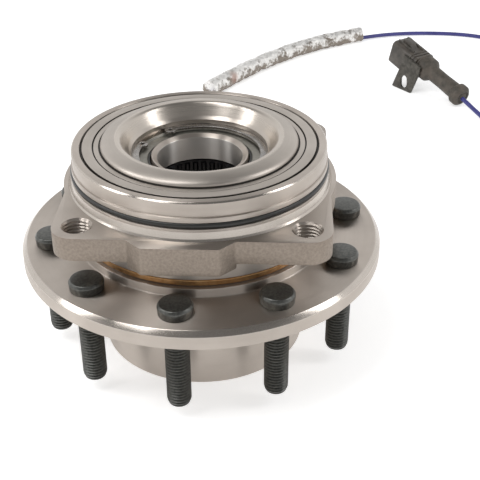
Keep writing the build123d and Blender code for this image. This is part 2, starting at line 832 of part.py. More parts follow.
# Route of the lead: out of the sensor, down behind the wheel flange, back along the
# floor, through the heat sleeve, round a loop at the right and into the connector
lead_floor = floor_height + lead_radius
lead_start = pad_reach + sensor_head_depth + relief_length - relief_grip_depth
route_drop = [
    (0.0, lead_start, middle),
    (0.0, 126.0, middle),
    (0.5, 146.0, 24.0),
    (1.0, 153.0, -2.0),
    (2.0, 156.5, -29.0),
    (3.5, 168.5, -50.0),
    (6.0, 192.0, lead_floor),
]
route_back = [
    (9.0, 228.0), (0.0, 264.0), (-20.0, 296.0), (-36.0, 328.0), (-29.0, 354.0),
]
route_sleeve = [
    (-6.0, 391.5), (20.0, 428.5), (49.0, 463.0), (84.0, 495.0), (124.0, 521.0),
]
route_loop = [
    (168.0, 539.0), (213.0, 546.0), (258.0, 541.0), (293.0, 518.0), (312.0, 481.0), (315.0, 440.0),
    (312.0, 400.0), (307.0, 362.0), (301.0, 332.0), (289.0, 309.0), (266.0, 298.0), (242.5, 305.0),
]
sleeve_lead_in = 0.27   # share of its first run that the sleeve leaves bare
lead_rise = 25.0        # length of the last run up to the boot's collar
connector_mouth = (217.9, 347.3, -50.1)     # middle of the boot's collar face
connector_far = (165.1, 418.8, -26.5)       # where the boot's axis leaves the shell's open end


def lead_route():
    """Corner points of the lead's path, with the floor's height filled in."""
    in_sleeve = floor_height + sleeve_wall + lead_radius + 3 * fit_gap
    points = list(route_drop)
    points += [(x, y, lead_floor) for x, y in route_back[:-1]]
    points += [(x, y, in_sleeve) for x, y in route_back[-1:] + route_sleeve + route_loop[:1]]
    points += [(x, y, lead_floor) for x, y in route_loop[1:]]
    points.append(tuple(connector_plane(-lead_rise).origin))
    points.append(tuple(connector_plane(boot_grip_depth).origin))
    return points


def corner_radii(points):
    """Largest arc that each corner of a route leaves room for."""
    radii = []
    for before, corner, after in zip(points, points[1:], points[2:]):
        arrive = Vector(*corner) - Vector(*before)
        leave = Vector(*after) - Vector(*corner)
        turn = radians(arrive.get_angle(leave))
        radii.append(0.45 * min(arrive.length, leave.length) / tan(turn / 2))
    return radii


def tube(points, radius, bore=0.0):
    """Round tube along straight runs joined by tangent arcs."""
    path = FilletPolyline(points, radius=corner_radii(points))
    start = Plane(origin=path @ 0, z_dir=path % 0)
    section = Circle(radius) if bore == 0.0 else Circle(radius) - Circle(bore)
    return sweep(start * section, path=path), path.length


def make_lead():
    """Blue jacketed lead as one tube."""
    points = lead_route()
    lead, length = tube(points, lead_radius)
    full_volume = pi * lead_radius ** 2 * length
    print("lead", round(length), "mm, radii", [round(radius) for radius in corner_radii(points)])
    print("lead volume against section times length", round(lead.volume / full_volume, 4))
    return lead


def sleeve_route():
    """Middle line of the heat sleeve, which lies on the floor round the lead."""
    height = floor_height + sleeve_radius + fit_gap
    corners = [route_back[-1]] + route_sleeve + [route_loop[0]]
    before, first = Vector(*corners[0]), Vector(*corners[1])
    last, after = Vector(*corners[-2]), Vector(*corners[-1])
    start = before + (first - before) * sleeve_lead_in
    end = last + (after - last) * sleeve_lead_in
    middle_points = [start] + [Vector(*point) for point in corners[1:-1]] + [end]
    return [(point.X, point.Y, height) for point in middle_points]


def make_sleeve():
    """Thin foil-faced heat sleeve as a tube."""
    points = sleeve_route()
    sleeve, length = tube(points, sleeve_radius, sleeve_radius - sleeve_wall)
    print("sleeve", round(length), "mm, radii", [round(radius) for radius in corner_radii(points)])
    return sleeve


def connector_plane(distance):
    """Plane square to the boot's axis: its X points to the viewer's side, its Y up."""
    start = Vector(*connector_mouth)
    axis = (Vector(*connector_far) - start).normalized()
    sideways = Vector(0, 0, 1).cross(axis).normalized()
    return Plane(origin=start + axis * distance, x_dir=sideways, z_dir=axis)


def make_boot():
    """Rubber boot: collar, neck, and the wide end that grips the connector shell's stub."""
    neck_end = boot_collar_length + boot_length
    full = neck_end + boot_bulge_length
    round_edge = boot_edge * 2
    outline = [
        (0, 0),
        (boot_collar_radius - boot_edge, 0),
        (boot_collar_radius, boot_edge),
        (boot_collar_radius, boot_collar_length - round_edge),
        (boot_radius + boot_edge / 2, boot_collar_length),
        (boot_radius, boot_collar_length + boot_edge),
        (boot_radius, neck_end - boot_flare),
        (boot_bulge_radius, neck_end + round_edge),
        (boot_bulge_radius, full - round_edge),
        (boot_bulge_radius - boot_edge, full),
        (0, full),
    ]
    pocket = Pos(0, 0, full - spigot_length / 2) * Box(spigot_width, spigot_height, spigot_length)
    wire = upright(lead_radius + fit_gap, -1, boot_grip_depth)
    return connector_plane(0) * (turned(outline) - pocket - wire)


def shell_start():
    """Distance of the shell's back face from the boot's collar."""
    return boot_collar_length + boot_length + boot_bulge_length + fit_gap


def make_shell():
    """Connector shell: a rounded box with an open mouth, a latch, and a stub inside the boot."""
    box = extrude(RectangleRounded(shell_width, shell_height, shell_corner), shell_length)
    inner_width = shell_width - 2 * shell_wall
    inner_height = shell_height - 2 * shell_wall
    inner = RectangleRounded(inner_width, inner_height, shell_corner - shell_wall / 2)
    mouth_floor = shell_length - shell_mouth_depth
    mouth = Pos(0, 0, mouth_floor) * extrude(inner, shell_mouth_depth)
    blade = Box(terminal_width, terminal_thickness, 2 * terminal_root)
    slots = [Pos(side * terminal_spread, 0, mouth_floor) * blade for side in (-1, 1)]
    latch_middle = shell_length - latch_setback - latch_length / 2
    latch = Pos(0, (shell_height + latch_height) / 2, latch_middle)
    shell = box - mouth - slots + latch * Box(latch_width, latch_height, latch_length)
    stub_length = spigot_length - 2 * fit_gap
    stub = Box(spigot_width - 2 * fit_gap, spigot_height - 2 * fit_gap, stub_length)
    shell = Pos(0, -shell_drop, 0) * shell + Pos(0, 0, -stub_length / 2) * stub
    return connector_plane(shell_start()) * shell


def make_terminals():
    """Two blade terminals that stand in the connector's mouth."""
    start = shell_start() + shell_length - shell_mouth_depth
    length = terminal_length + terminal_root - fit_gap
    blade = Box(terminal_width - 2 * fit_gap, terminal_thickness - 2 * fit_gap, length)
    place = Pos(0, -shell_drop, length / 2 - terminal_root + fit_gap)
    return [connector_plane(start) * place * Pos(side * terminal_spread, 0, 0) * blade for side in (-1, 1)]


def make_tab():
    """Steel fixing tab: one leaf on the shell's side, the other with an oblong hole, down to the floor."""
    near = shell_width / 2 + fit_gap
    far = near + tab_thickness
    bend = -tab_bend_drop
    grip_top = bend + tab_grip_height
    lean = radians(tab_lean)
    reach = 3 * shell_height / 2
    lower = (near + reach * sin(lean), bend - reach * cos(lean))
    lower_far = (lower[0] + tab_thickness * cos(lean), lower[1] + tab_thickness * sin(lean))
    outline = [(near, grip_top), (near, bend), lower, lower_far, (far, bend), (far, grip_top)]
    profile = make_face(Polyline([(x, y, 0) for x, y in outline], close=True))
    plate = connector_plane(tab_start) * extrude(profile, tab_length)
    across = tab_hole_drop * sin(lean)
    slot = SlotOverall(tab_hole_height, tab_hole_width, rotation=90)
    hole_height = bend - tab_hole_drop * cos(lean)
    hole = Pos(near + across, hole_height, tab_length / 2) * Rot(0, 90, 0) * Rot(0, 0, 90)
    plate -= connector_plane(tab_start) * hole * extrude(slot, 4 * tab_thickness, both=True)
    below = floor_height - shell_length + fit_gap
    ground = Pos(0, 0, below) * Box(field_size, field_size, 2 * shell_length)
    return plate - ground


def export(name, pieces):
    """Write one node, as one solid or as a group of separate solids."""
    group = pieces if isinstance(pieces, list) else [pieces]
    solids = [solid for piece in group for solid in piece.solids()]
    shape = solids[0] if len(solids) == 1 else Compound(solids)
    export_step(shape, os.path.join("parts", name + ".step"))
    return solids


def main():
    os.makedirs("parts", exist_ok=True)
    export("wheel_hub", make_hub())
    export("wheel_studs", make_studs())
    export("outboard_cone", make_cone())
    export("inboard_cone", mirrored(make_cone()))
    export("outboard_cup", make_cup())
    export("inboard_cup", mirrored(make_cup()))
    export("outboard_rollers", make_rollers())
    export("inboard_rollers", [mirrored(roller) for roller in make_rollers()])
    export("outboard_cage", make_cage())
    export("inboard_cage", mirrored(make_cage()))
    export("tone_ring", make_tone_ring())
    export("needle_cup", make_needle_cup())
    export("needle_rollers", make_needles())
    export("needle_cage", make_needle_cage())
    export("bearing_housing", make_housing())
    export("pilot_o_ring", make_o_ring())
    export("inboard_cover", make_cover())
    export("retaining_ring", make_retaining_ring())
    export("axle_seal_case", make_axle_seal_case())
    export("axle_seal_lip", make_axle_seal_lip())
    export("outboard_seal_case", make_outboard_seal())
    export("outboard_seal_lip", make_outboard_lip())
    export("wear_sleeve", make_wear_sleeve())
    export("speed_sensor", make_sensor())
    export("sensor_o_ring", make_sensor_ring())
    export("sensor_screw", make_sensor_screw())
    export("sensor_strain_relief", make_relief())
    export("lead_cable", make_lead())
    export("heat_sleeve", make_sleeve())
    export("connector_boot", make_boot())
    export("connector_shell", make_shell())
    export("connector_terminals", make_terminals())
    export("connector_tab", make_tab())


main()
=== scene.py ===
import json
import math
import bpy
from mathutils import Matrix, Vector, noise


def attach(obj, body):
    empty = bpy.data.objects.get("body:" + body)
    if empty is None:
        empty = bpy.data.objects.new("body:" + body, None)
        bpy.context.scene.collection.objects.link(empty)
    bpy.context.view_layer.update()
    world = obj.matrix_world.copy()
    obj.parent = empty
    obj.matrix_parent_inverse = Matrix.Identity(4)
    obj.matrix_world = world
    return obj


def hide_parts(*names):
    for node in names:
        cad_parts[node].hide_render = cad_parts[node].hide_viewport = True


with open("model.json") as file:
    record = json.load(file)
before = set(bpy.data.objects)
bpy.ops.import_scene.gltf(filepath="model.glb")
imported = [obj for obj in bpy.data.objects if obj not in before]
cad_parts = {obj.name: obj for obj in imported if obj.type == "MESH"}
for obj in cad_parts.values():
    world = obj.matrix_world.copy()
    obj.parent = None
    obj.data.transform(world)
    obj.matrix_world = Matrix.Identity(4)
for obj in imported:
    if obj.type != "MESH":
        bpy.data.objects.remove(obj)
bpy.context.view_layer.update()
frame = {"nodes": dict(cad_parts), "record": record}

nodes = frame["nodes"]
mm = 0.001
floorHeight = -0.0595
weldGap = 0.000002  # vertices nearer than this become one
sliceGap = 0.0000001  # vertices this near a cutting plane lie on it


def say(stage):
    print("scene:", stage)


camera = {
    "place": (0.04547, -0.51053, 0.31531),
    "turn": (58.493, 0.262, 2.340),  # degrees, fitted to the photo
    "lens": 73.16,
    "sensor": 36,
    "near": 0.01,
}


def addCamera(place, turn, lens, sensor, near):
    bpy.ops.object.select_all(action="DESELECT")
    bpy.ops.object.camera_add(location=place, rotation=[math.radians(angle) for angle in turn])
    shot = bpy.context.object
    shot.name = "photoCamera"
    shot.data.lens = lens
    shot.data.sensor_width = sensor
    shot.data.clip_start = near
    bpy.context.scene.camera = shot


addCamera(**camera)
say("camera placed")


def newMaterial(name):
    material = bpy.data.materials.new(name)
    material.use_nodes = True
    tree = material.node_tree
    tree.nodes.clear()
    shader = tree.nodes.new("ShaderNodeBsdfPrincipled")
    output = tree.nodes.new("ShaderNodeOutputMaterial")
    tree.links.new(shader.outputs[0], output.inputs["Surface"])
    return material, tree, shader


def setInputs(tree, node, values):  # a value is a constant, or the output of another node
    for key, value in values.items():
        if hasattr(value, "is_output"):
            tree.links.new(value, node.inputs[key])
        else:
            node.inputs[key].default_value = value


def addNode(tree, kind, values=None, **settings):
    node = tree.nodes.new(kind)
    for key, value in settings.items():
        setattr(node, key, value)
    setInputs(tree, node, values or {})
    return node


def compute(tree, operation, *values):
    return addNode(tree, "ShaderNodeMath", dict(enumerate(values)), operation=operation).outputs[0]


def mapped(tree, value, fromRange, toRange):
    return addNode(tree, "ShaderNodeMapRange", {
        "Value": value, "From Min": fromRange[0], "From Max": fromRange[1],
        "To Min": toRange[0], "To Max": toRange[1]}).outputs[0]


def objectPoint(tree):
    return addNode(tree, "ShaderNodeTexCoord").outputs["Object"]


def grain(tree, point, scale, detail=4.0, rough=0.55):
    return addNode(tree, "ShaderNodeTexNoise", {
        "Vector": point, "Scale": scale, "Detail": detail, "Roughness": rough}).outputs["Fac"]


def blendColors(tree, factor, first, second, low=0.3, high=0.7):
    ramp = addNode(tree, "ShaderNodeValToRGB", {"Fac": factor})
    ends = ramp.color_ramp.elements
    for end, position, color in ((ends[0], low, first), (ends[1], high, second)):
        end.position = position
        end.color = (*color, 1)
    return ramp.outputs["Color"]


def bumped(tree, height, strength, distance, under=None):
    values = {"Height": height, "Strength": strength, "Distance": distance}
    if under is not None:
        values["Normal"] = under
    return addNode(tree, "ShaderNodeBump", values).outputs[0]


# turning marks run round the hub axis: the pattern depends on radius and height only
def turnedPoint(tree):
    parts = addNode(tree, "ShaderNodeSeparateXYZ", {"Vector": objectPoint(tree)}).outputs
    flat = addNode(tree, "ShaderNodeCombineXYZ", {"X": parts[0], "Y": parts[1]}).outputs[0]
    radius = addNode(tree, "ShaderNodeVectorMath", {0: flat}, operation="LENGTH").outputs["Value"]
    return addNode(tree, "ShaderNodeCombineXYZ", {"X": radius, "Z": parts[2]}).outputs[0]


turning = {"markScale": 2600.0, "markDepth": 0.00003, "cloudScale": 38.0}


def turnedMetal(name, dark, light, rough, marks, anisotropy):
    material, tree, shader = newMaterial(name)
    rings = grain(tree, turnedPoint(tree), turning["markScale"], 2.0, 0.6)
    cloud = grain(tree, objectPoint(tree), turning["cloudScale"], 5.0)
    setInputs(tree, shader, {
        "Metallic": 1.0,
        "Anisotropic": anisotropy,
        "Anisotropic Rotation": 0.25,  # light spreads across the turning marks
        "Base Color": blendColors(tree, cloud, dark, light),
        "Roughness": mapped(tree, rings, (0, 1), (rough * 0.75, rough * 1.3)),
        "Normal": bumped(tree, rings, marks, turning["markDepth"]),
        "Tangent": addNode(tree, "ShaderNodeTangent", direction_type="RADIAL", axis="Z").outputs[0],
    })
    return material


def roughMetal(name, dark, light, rough, scale, depth, metallic):
    material, tree, shader = newMaterial(name)
    point = objectPoint(tree)
    coarse = grain(tree, point, scale, 6.0, 0.6)
    fine = grain(tree, point, scale * 7, 3.0, 0.6)
    setInputs(tree, shader, {
        "Metallic": metallic,
        "Base Color": blendColors(tree, coarse, dark, light, 0.3, 0.72),
        "Roughness": mapped(tree, fine, (0, 1), (rough * 0.8, min(1.0, rough * 1.25))),
        "Normal": bumped(tree, fine, 0.5, depth * 0.4, bumped(tree, coarse, 0.6, depth)),
    })
    return material


def softPlastic(name, dark, light, rough, scale, depth):
    material, tree, shader = newMaterial(name)
    point = objectPoint(tree)
    fine = grain(tree, point, scale, 4.0)
    cloud = grain(tree, point, scale / 14, 3.0)
    setInputs(tree, shader, {
        "Base Color": blendColors(tree, cloud, dark, light),
        "Roughness": mapped(tree, fine, (0, 1), (rough * 0.85, min(1.0, rough * 1.15))),
        "Normal": bumped(tree, fine, 0.35, depth),
    })
    return material


foilLook = {
    "dark": (0.27, 0.235, 0.20), "light": (0.90, 0.885, 0.86), "rough": (0.26, 0.572), "metallic": 0.85,
    "patchScale": 95.0, "patchEdges": (0.43, 0.53), "patchDepth": 0.0016,
    "streakScale": 330.0, "streakDepth": 0.0004,
    "undersideShadeHeight": 0.0155, "undersideShade": (-0.17, 0.10),  # painted shade of the underside, added to the patches at the floor and at that height
    "rust": (0.42, 0.27, 0.22), "rustPlace": (0, 0.391, -0.050), "rustReach": (0.003, 0.0075), "rustShare": 0.75,
}


def foilSkin(name, look):  # bright and dark patches, the dark ones painted shade of the creases, darker towards the floor as painted shade of the underside, with a rusty spot on the bump
    material, tree, shader = newMaterial(name)
    point = objectPoint(tree)
    patches = grain(tree, point, look["patchScale"], 7.0, 0.72)
    streaks = grain(tree, point, look["streakScale"], 5.0, 0.7)
    height = addNode(tree, "ShaderNodeSeparateXYZ", {"Vector": point}).outputs["Z"]
    # the darkening towards the floor is painted shade of the sleeve's underside
    undersideShade = mapped(tree, height, (floorHeight, floorHeight + look["undersideShadeHeight"]), look["undersideShade"])
    tone = compute(tree, "ADD", patches, undersideShade)
    away = addNode(tree, "ShaderNodeVectorMath", {0: point, 1: look["rustPlace"]}, operation="DISTANCE")
    skin = addNode(tree, "ShaderNodeMix", {
        "Factor": mapped(tree, away.outputs["Value"], look["rustReach"], (look["rustShare"], 0.0)),
        # the dark end of this ramp is painted shade of the foil's creases
        "A": blendColors(tree, tone, look["dark"], look["light"], *look["patchEdges"]),
        "B": (*look["rust"], 1)}, data_type="RGBA")
    setInputs(tree, shader, {
        "Metallic": look["metallic"],
        "Base Color": skin.outputs["Result"],
        "Roughness": mapped(tree, streaks, (0, 1), look["rough"]),
        "Normal": bumped(tree, streaks, 0.7, look["streakDepth"], bumped(tree, patches, 0.9, look["patchDepth"])),
    })
    return material


turnedLooks = {  # dark, light, roughness, strength of the turning marks, anisotropy
    "flangeSteel": ((0.46, 0.41, 0.365), (0.54, 0.485, 0.435), 0.38, 0.2, 0.95),
    "edgeSteel": ((0.50, 0.455, 0.41), (0.58, 0.53, 0.48), 0.19, 0.12, 0.85),
    "groundSteel": ((0.50, 0.48, 0.45), (0.60, 0.58, 0.55), 0.24, 0.15, 0.75),
    # near black: painted shade of the bore round the needle bearing
    "needleSteel": ((0.06, 0.06, 0.065), (0.10, 0.10, 0.105), 0.3, 0.10, 0.75),
    "boreSteel": ((0.55, 0.53, 0.50), (0.68, 0.65, 0.62), 0.36, 0.10, 1.0),
    "dishSteel": ((0.49, 0.445, 0.40), (0.56, 0.51, 0.455), 0.29, 0.10, 0.6),
    "beadSteel": ((0.44, 0.40, 0.36), (0.52, 0.475, 0.43), 0.42, 0.10, 0.3),
}
roughLooks = {  # dark, light, roughness, scale, depth of the relief in metres, metallic
    # near black: painted shade for the cover's seam, groove and bead foot
    "oilDark": ((0.020, 0.017, 0.014), (0.050, 0.044, 0.036), 0.5, 400.0, 0.00003, 0.3),
    "forgedSteel": ((0.25, 0.21, 0.175), (0.345, 0.295, 0.25), 0.55, 700.0, 0.00016, 1.0),
    "springSteel": ((0.24, 0.23, 0.22), (0.42, 0.40, 0.38), 0.26, 300.0, 0.00003, 1.0),
    "blackStud": ((0.075, 0.076, 0.071), (0.150, 0.151, 0.141), 0.31, 700.0, 0.00004, 0.85),
    "brownCoat": ((0.36, 0.18, 0.065), (0.56, 0.34, 0.16), 0.32, 260.0, 0.00004, 0.7),
    "sealGrey": ((0.22, 0.21, 0.185), (0.32, 0.305, 0.27), 0.34, 500.0, 0.00004, 0.85),
    "tabSteel": ((0.050, 0.047, 0.041), (0.125, 0.116, 0.100), 0.34, 240.0, 0.00010, 0.75),
    "terminalTin": ((0.55, 0.50, 0.40), (0.65, 0.60, 0.50), 0.25, 300.0, 0.00003, 1.0),
}
softLooks = {  # dark, light, roughness, scale, depth of the relief in metres
    "blackRubber": ((0.010, 0.010, 0.009), (0.022, 0.022, 0.020), 0.38, 900.0, 0.00006),
    "sensorPlastic": ((0.018, 0.018, 0.018), (0.03, 0.03, 0.03), 0.45, 900.0, 0.00006),
    "bootRubber": ((0.048, 0.043, 0.034), (0.125, 0.104, 0.084), 0.6, 2100.0, 0.0001),
    "shellPlastic": ((0.045, 0.040, 0.034), (0.125, 0.108, 0.090), 0.42, 1700.0, 0.0001),
    "blueJacket": ((0.045, 0.045, 0.21), (0.075, 0.075, 0.29), 0.4, 900.0, 0.00006),
}
finishes = {"foil": foilSkin("foil", foilLook)}
for makeFinish, looks in ((turnedMetal, turnedLooks), (roughMetal, roughLooks), (softPlastic, softLooks)):
    for name, look in looks.items():
        finishes[name] = makeFinish(name, *look)

ownFinish = {"needle_rollers": "needleSteel", "needle_cage": "needleSteel", "needle_cup": "needleSteel"}
slotFinish = {
    "turned_steel": "flangeSteel", "ground_steel": "groundSteel", "polished_steel": "dishSteel",
    "spring_steel": "springSteel", "black_studs": "blackStud", "brown_coating": "brownCoat",
    "seal_grey": "sealGrey", "black_rubber": "blackRubber", "sensor_plastic": "sensorPlastic",
    "lead_jacket": "blueJacket", "foil": "foil", "boot_rubber": "bootRubber",
    "shell_plastic": "shellPlastic", "terminal_metal": "terminalTin", "tab_steel": "tabSteel",
}


def dress(piece, *names):
    piece.data.materials.clear()
    for name in names:
        piece.data.materials.append(finishes[name])


for part in frame["record"]["subparts"]:
    dress(nodes[part["node"]], ownFinish.get(part["node"], slotFinish[part["material_slot"]]))
say("frame dressed")


lead = {  # its points are the solid's route in millimetres, with the end of the loop laid after the photo
    "radius": 0.002,  # metres, like the length
    "length": 1.04,
    "drop": [(0, 101.5, 35.6), (0, 126, 35.6), (0.5, 146, 24), (1, 153, -2), (2, 156.5, -29),
             (3.5, 168.5, -50), (6, 192, -57.5)],
    "back": [(9, 228), (0, 264), (-20, 296), (-36, 328)],
    "sleeve": [(-29, 354), (-6, 391.5), (20, 428.5), (49, 463), (84, 495), (124, 521), (168, 539)],
    "loop": [(213, 546), (258, 541), (293, 518), (312, 481), (315, 440), (312, 400), (307, 362), (301, 332),
             (289, 309), (264, 296), (239, 301)],
    "onFloor": -57.5,
    "inSleeve": -56.55,
    "rise": (230, 326, -57.3),  # where the last run leaves the floor for the boot's collar
    "grip": 15.5,  # of the lead in the boot
}
connector = {
    "mouth": Vector((217.9, 347.3, -50.1)) * mm,
    "far": Vector((165.1, 418.8, -26.5)) * mm,
}


def connectorPlace(distance):
    axis = (connector["far"] - connector["mouth"]).normalized()
    side = Vector((0, 0, 1)).cross(axis).normalized()
    turn = Matrix((side, axis.cross(side), axis)).transposed().to_4x4()
    return Matrix.Translation(connector["mouth"] + axis * distance * mm) @ turn


def leadPoints(data):
    points = list(data["drop"])
    for run, height in (("back", "onFloor"), ("sleeve", "inSleeve"), ("loop", "onFloor")):
        points += [(x, y, data[height]) for x, y in data[run]]
    route = [Vector(point) * mm for point in points + [data["rise"]]]
    return route + [connectorPlace(data["grip"]).translation]


def newCurve(name, kind, points, radius, roundness):
    curve = bpy.data.curves.new(name, "CURVE")
    curve.dimensions = "3D"
    spline = curve.splines.new(kind)
    spline.points.add(len(points) - 1)
    for place, point in zip(spline.points, points):
        place.co = (*point, 1)
    curve.bevel_depth = radius
    curve.bevel_resolution = roundness
    piece = bpy.data.objects.new(name, curve)
    bpy.context.scene.collection.objects.link(piece)
    return piece


def layLead(data):
    piece = newCurve("lead", "NURBS", leadPoints(data), data["radius"], 6)
    spline = piece.data.splines[0]
    spline.order_u = 3
    spline.use_endpoint_u = True
    spline.resolution_u = 16
    piece.data.use_fill_caps = True
    dress(piece, "blueJacket")
    return piece


leadPiece = layLead(lead)
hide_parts("lead_cable")
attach(leadPiece, "housing")
say("lead laid")


# modelling helpers: pieces are drawn in millimetres and kept in metres
def pick(piece):
    bpy.ops.object.select_all(action="DESELECT")
    piece.select_set(True)
    bpy.context.view_layer.objects.active = piece


def applyModifiers(piece):
    pick(piece)
    for modifier in list(piece.modifiers):
        bpy.ops.object.modifier_apply(modifier=modifier.name)


def roundedOutline(corners, steps=4):  # corners are (across, up, radius), in a closed loop
    sideShare = 0.48  # of a side that a rounding may take
    points = []
    for index, (across, up, size) in enumerate(corners):
        here = Vector((across, up))
        if size == 0:
            points.append(here)
            continue
        before = Vector(corners[index - 1][:2]) - here
        after = Vector(corners[(index + 1) % len(corners)][:2]) - here
        half = before.angle(after) / 2
        reach = min(size / math.tan(half), sideShare * before.length, sideShare * after.length)
        first = before.normalized() * reach
        last = after.normalized() * reach
        middle = (before.normalized() + after.normalized()).normalized() * reach / math.cos(half)
        for step in range(steps + 1):
            arm = (first - middle).slerp(last - middle, step / steps).normalized()
            points.append(here + middle + arm * (first - middle).length)
    return points


def profile(size, corners, steps=3):  # across and up are numbers, or names in the piece's dictionary
    def read(value):
        return size[value] if isinstance(value, str) else value

    return roundedOutline([(read(across), read(up), radius) for across, up, radius in corners], steps)


def smoothRun(points, steps=4):  # a curve through every point
    run = []
    knots = [Vector(point) for point in [points[0], *points, points[-1]]]
    for a, b, c, d in zip(knots, knots[1:], knots[2:], knots[3:]):
        for step in range(steps):
            t = step / steps
            run.append(0.5 * (2 * b + (c - a) * t + (2 * a - 5 * b + 4 * c - d) * t ** 2
                              + (3 * b - a - 3 * c + d) * t ** 3))
    return run + [knots[-1]]


def drawLine(name, points, closed=True):  # one vertex, extruded from point to point
    stops = [Vector(point) * mm for point in points]
    if closed:
        stops.append(stops[0])
    bpy.ops.object.select_all(action="DESELECT")
    bpy.ops.mesh.primitive_plane_add(size=mm)
    piece = bpy.context.object
    piece.name = name
    bpy.ops.object.mode_set(mode="EDIT")
    bpy.ops.mesh.merge(type="CENTER")
    bpy.ops.transform.translate(value=stops[0])
    for before, stop in zip(stops, stops[1:]):
        bpy.ops.mesh.extrude_region_move(TRANSFORM_OT_translate={"value": stop - before})
    bpy.ops.mesh.select_all(action="SELECT")
    bpy.ops.mesh.remove_doubles(threshold=weldGap / 2)
    return piece


def closeMesh(piece, threshold=weldGap):
    pick(piece)
    bpy.ops.object.mode_set(mode="EDIT")
    bpy.ops.mesh.select_all(action="SELECT")
    bpy.ops.mesh.remove_doubles(threshold=threshold)
    bpy.ops.mesh.normals_make_consistent(inside=False)
    bpy.ops.object.mode_set(mode="OBJECT")


def extrudeFace(piece, shift):  # fills the outline that is being edited, and draws it out by metres
    bpy.ops.mesh.edge_face_add()
    bpy.ops.mesh.extrude_region_move(TRANSFORM_OT_translate={"value": shift})
    bpy.ops.object.mode_set(mode="OBJECT")
    closeMesh(piece)


def lathe(name, outline, steps=160, closed=True):  # outline is (radius, height)
    piece = drawLine(name, [(point[0], 0, point[1]) for point in outline], closed)
    bpy.ops.mesh.spin(steps=steps, angle=2 * math.pi, center=(0, 0, 0), axis=(0, 0, 1))
    bpy.ops.object.mode_set(mode="OBJECT")
    closeMesh(piece)
    return piece


def prism(name, outline, bottom, top):  # outline is (x, y)
    piece = drawLine(name, [(point[0], point[1], bottom) for point in outline])
    extrudeFace(piece, (0, 0, (top - bottom) * mm))
    return piece


def combine(piece, tool, operation="DIFFERENCE"):
    modifier = piece.modifiers.new("combine", "BOOLEAN")
    modifier.object = tool
    modifier.operation = operation
    modifier.solver = "EXACT"
    applyModifiers(piece)
    bpy.data.objects.remove(tool)
    return piece


def breakEdges(piece, width):
    bevel = piece.modifiers.new("bevel", "BEVEL")
    bevel.width = width * mm
    bevel.segments = 2
    bevel.limit_method = "ANGLE"
    bevel.angle_limit = math.radians(32)
    applyModifiers(piece)


def sliceLevel(height, keepAbove=True):  # of the piece that is being edited, in metres
    bpy.ops.mesh.select_all(action="SELECT")
    bpy.ops.mesh.bisect(plane_co=(0, 0, height), plane_no=(0, 0, 1), use_fill=True, clear_inner=keepAbove,
                        clear_outer=not keepAbove, threshold=sliceGap)


def join(pieces):
    bpy.ops.object.select_all(action="DESELECT")
    for piece in pieces:
        piece.select_set(True)
    bpy.context.view_layer.objects.active = pieces[0]
    bpy.ops.object.join()
    return pieces[0]


def plainCopy(piece):
    copy = piece.copy()
    copy.data = piece.data.copy()
    bpy.context.scene.collection.objects.link(copy)
    return copy


def turnedCopy(piece, turn, shift=(0, 0, 0)):
    copy = plainCopy(piece)
    copy.data.transform(Matrix.Translation(Vector(shift) * mm) @ Matrix.Rotation(math.radians(turn), 4, "Z"))
    return copy


def allRound(piece, count):  # joined copies, evenly round the hub axis
    return join([piece] + [turnedCopy(piece, 360 * index / count) for index in range(1, count)])


def threadedRod(name, crest, root, pitch, low, high, steps=24):  # runs on past both ends, and is cut there
    start = low - 1.5 * pitch
    flank = 0.42 * pitch
    tooth = [(root, 0, start), (crest, 0, start + flank), (crest, 0, start + pitch - flank), (root, 0, start + pitch)]
    piece = drawLine(name, tooth, closed=False)
    bpy.ops.object.mode_set(mode="OBJECT")
    helix = piece.modifiers.new("helix", "SCREW")
    helix.axis = "Z"
    helix.angle = 2 * math.pi
    helix.screw_offset = pitch * mm
    helix.iterations = int((high - low) / pitch) + 3
    helix.steps = steps
    helix.render_steps = steps
    helix.use_merge_vertices = True
    helix.merge_threshold = weldGap
    applyModifiers(piece)
    closeMesh(piece)
    bpy.ops.object.mode_set(mode="EDIT")
    sliceLevel(low * mm)
    sliceLevel(high * mm, keepAbove=False)
    bpy.ops.mesh.select_all(action="SELECT")
    bpy.ops.mesh.normals_make_consistent(inside=False)
    bpy.ops.object.mode_set(mode="OBJECT")
    return piece


def smooth(piece, angle=32):
    pick(piece)
    bpy.ops.object.shade_smooth_by_angle(angle=math.radians(angle))


def finishPiece(piece, finish, body, node, angle=32, accents=(), choose=None):
    smooth(piece, angle)
    dress(piece, finish, *accents)
    if choose:  # gives the number of a face's finish
        for face in piece.data.polygons:
            middle = face.center / mm
            face.material_index = choose(middle, middle.xy.length, face.normal.z)
    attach(piece, body)
    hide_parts(node)
    return piece


hub = {
    "flangeRadius": 108, "flangeThickness": 11, "rimChamfer": 2.8, "rimRound": 0.8,
    "stepRadius": 75.4, "stepTop": 16.5, "shoulderRadius": 54, "shoulderTop": 18.6,
    "barrelRadius": 42, "barrelTop": 54, "lipRadius": 46.5, "lipFoot": 52.6, "lipTop": 54.6,
    "lipInner": 41, "lipSlope": 40.4, "neckRadius": 28.4, "neckTop": 61, "neckRim": 27.6, "neckFlare": 59.3,
    "boreRadius": 25, "landBottom": 44.9, "needleSeat": 29.72, "webTop": 6.1, "webBore": 36, "webBottom": -11.9,
    "splineTip": 49.4, "splineRoot": 52, "splineTeeth": 24, "splineTooth": 5, "splineLow": -38.9,
    "splineDraft": 0.8, "splineOver": 3,  # of the cutting slot past the teeth
    "noseRadius": 62.45, "noseBore": 54.5, "clipGrooveHigh": -44.9, "clipGrooveLow": -47.5, "clipGroove": 56.5,
    "floor": -59.5, "mouthChamfer": 1.5,
    "brightBore": 25.3, "brightRim": 104.8, "chamferRise": (0.2, 0.97),  # faces that get their own finish
}


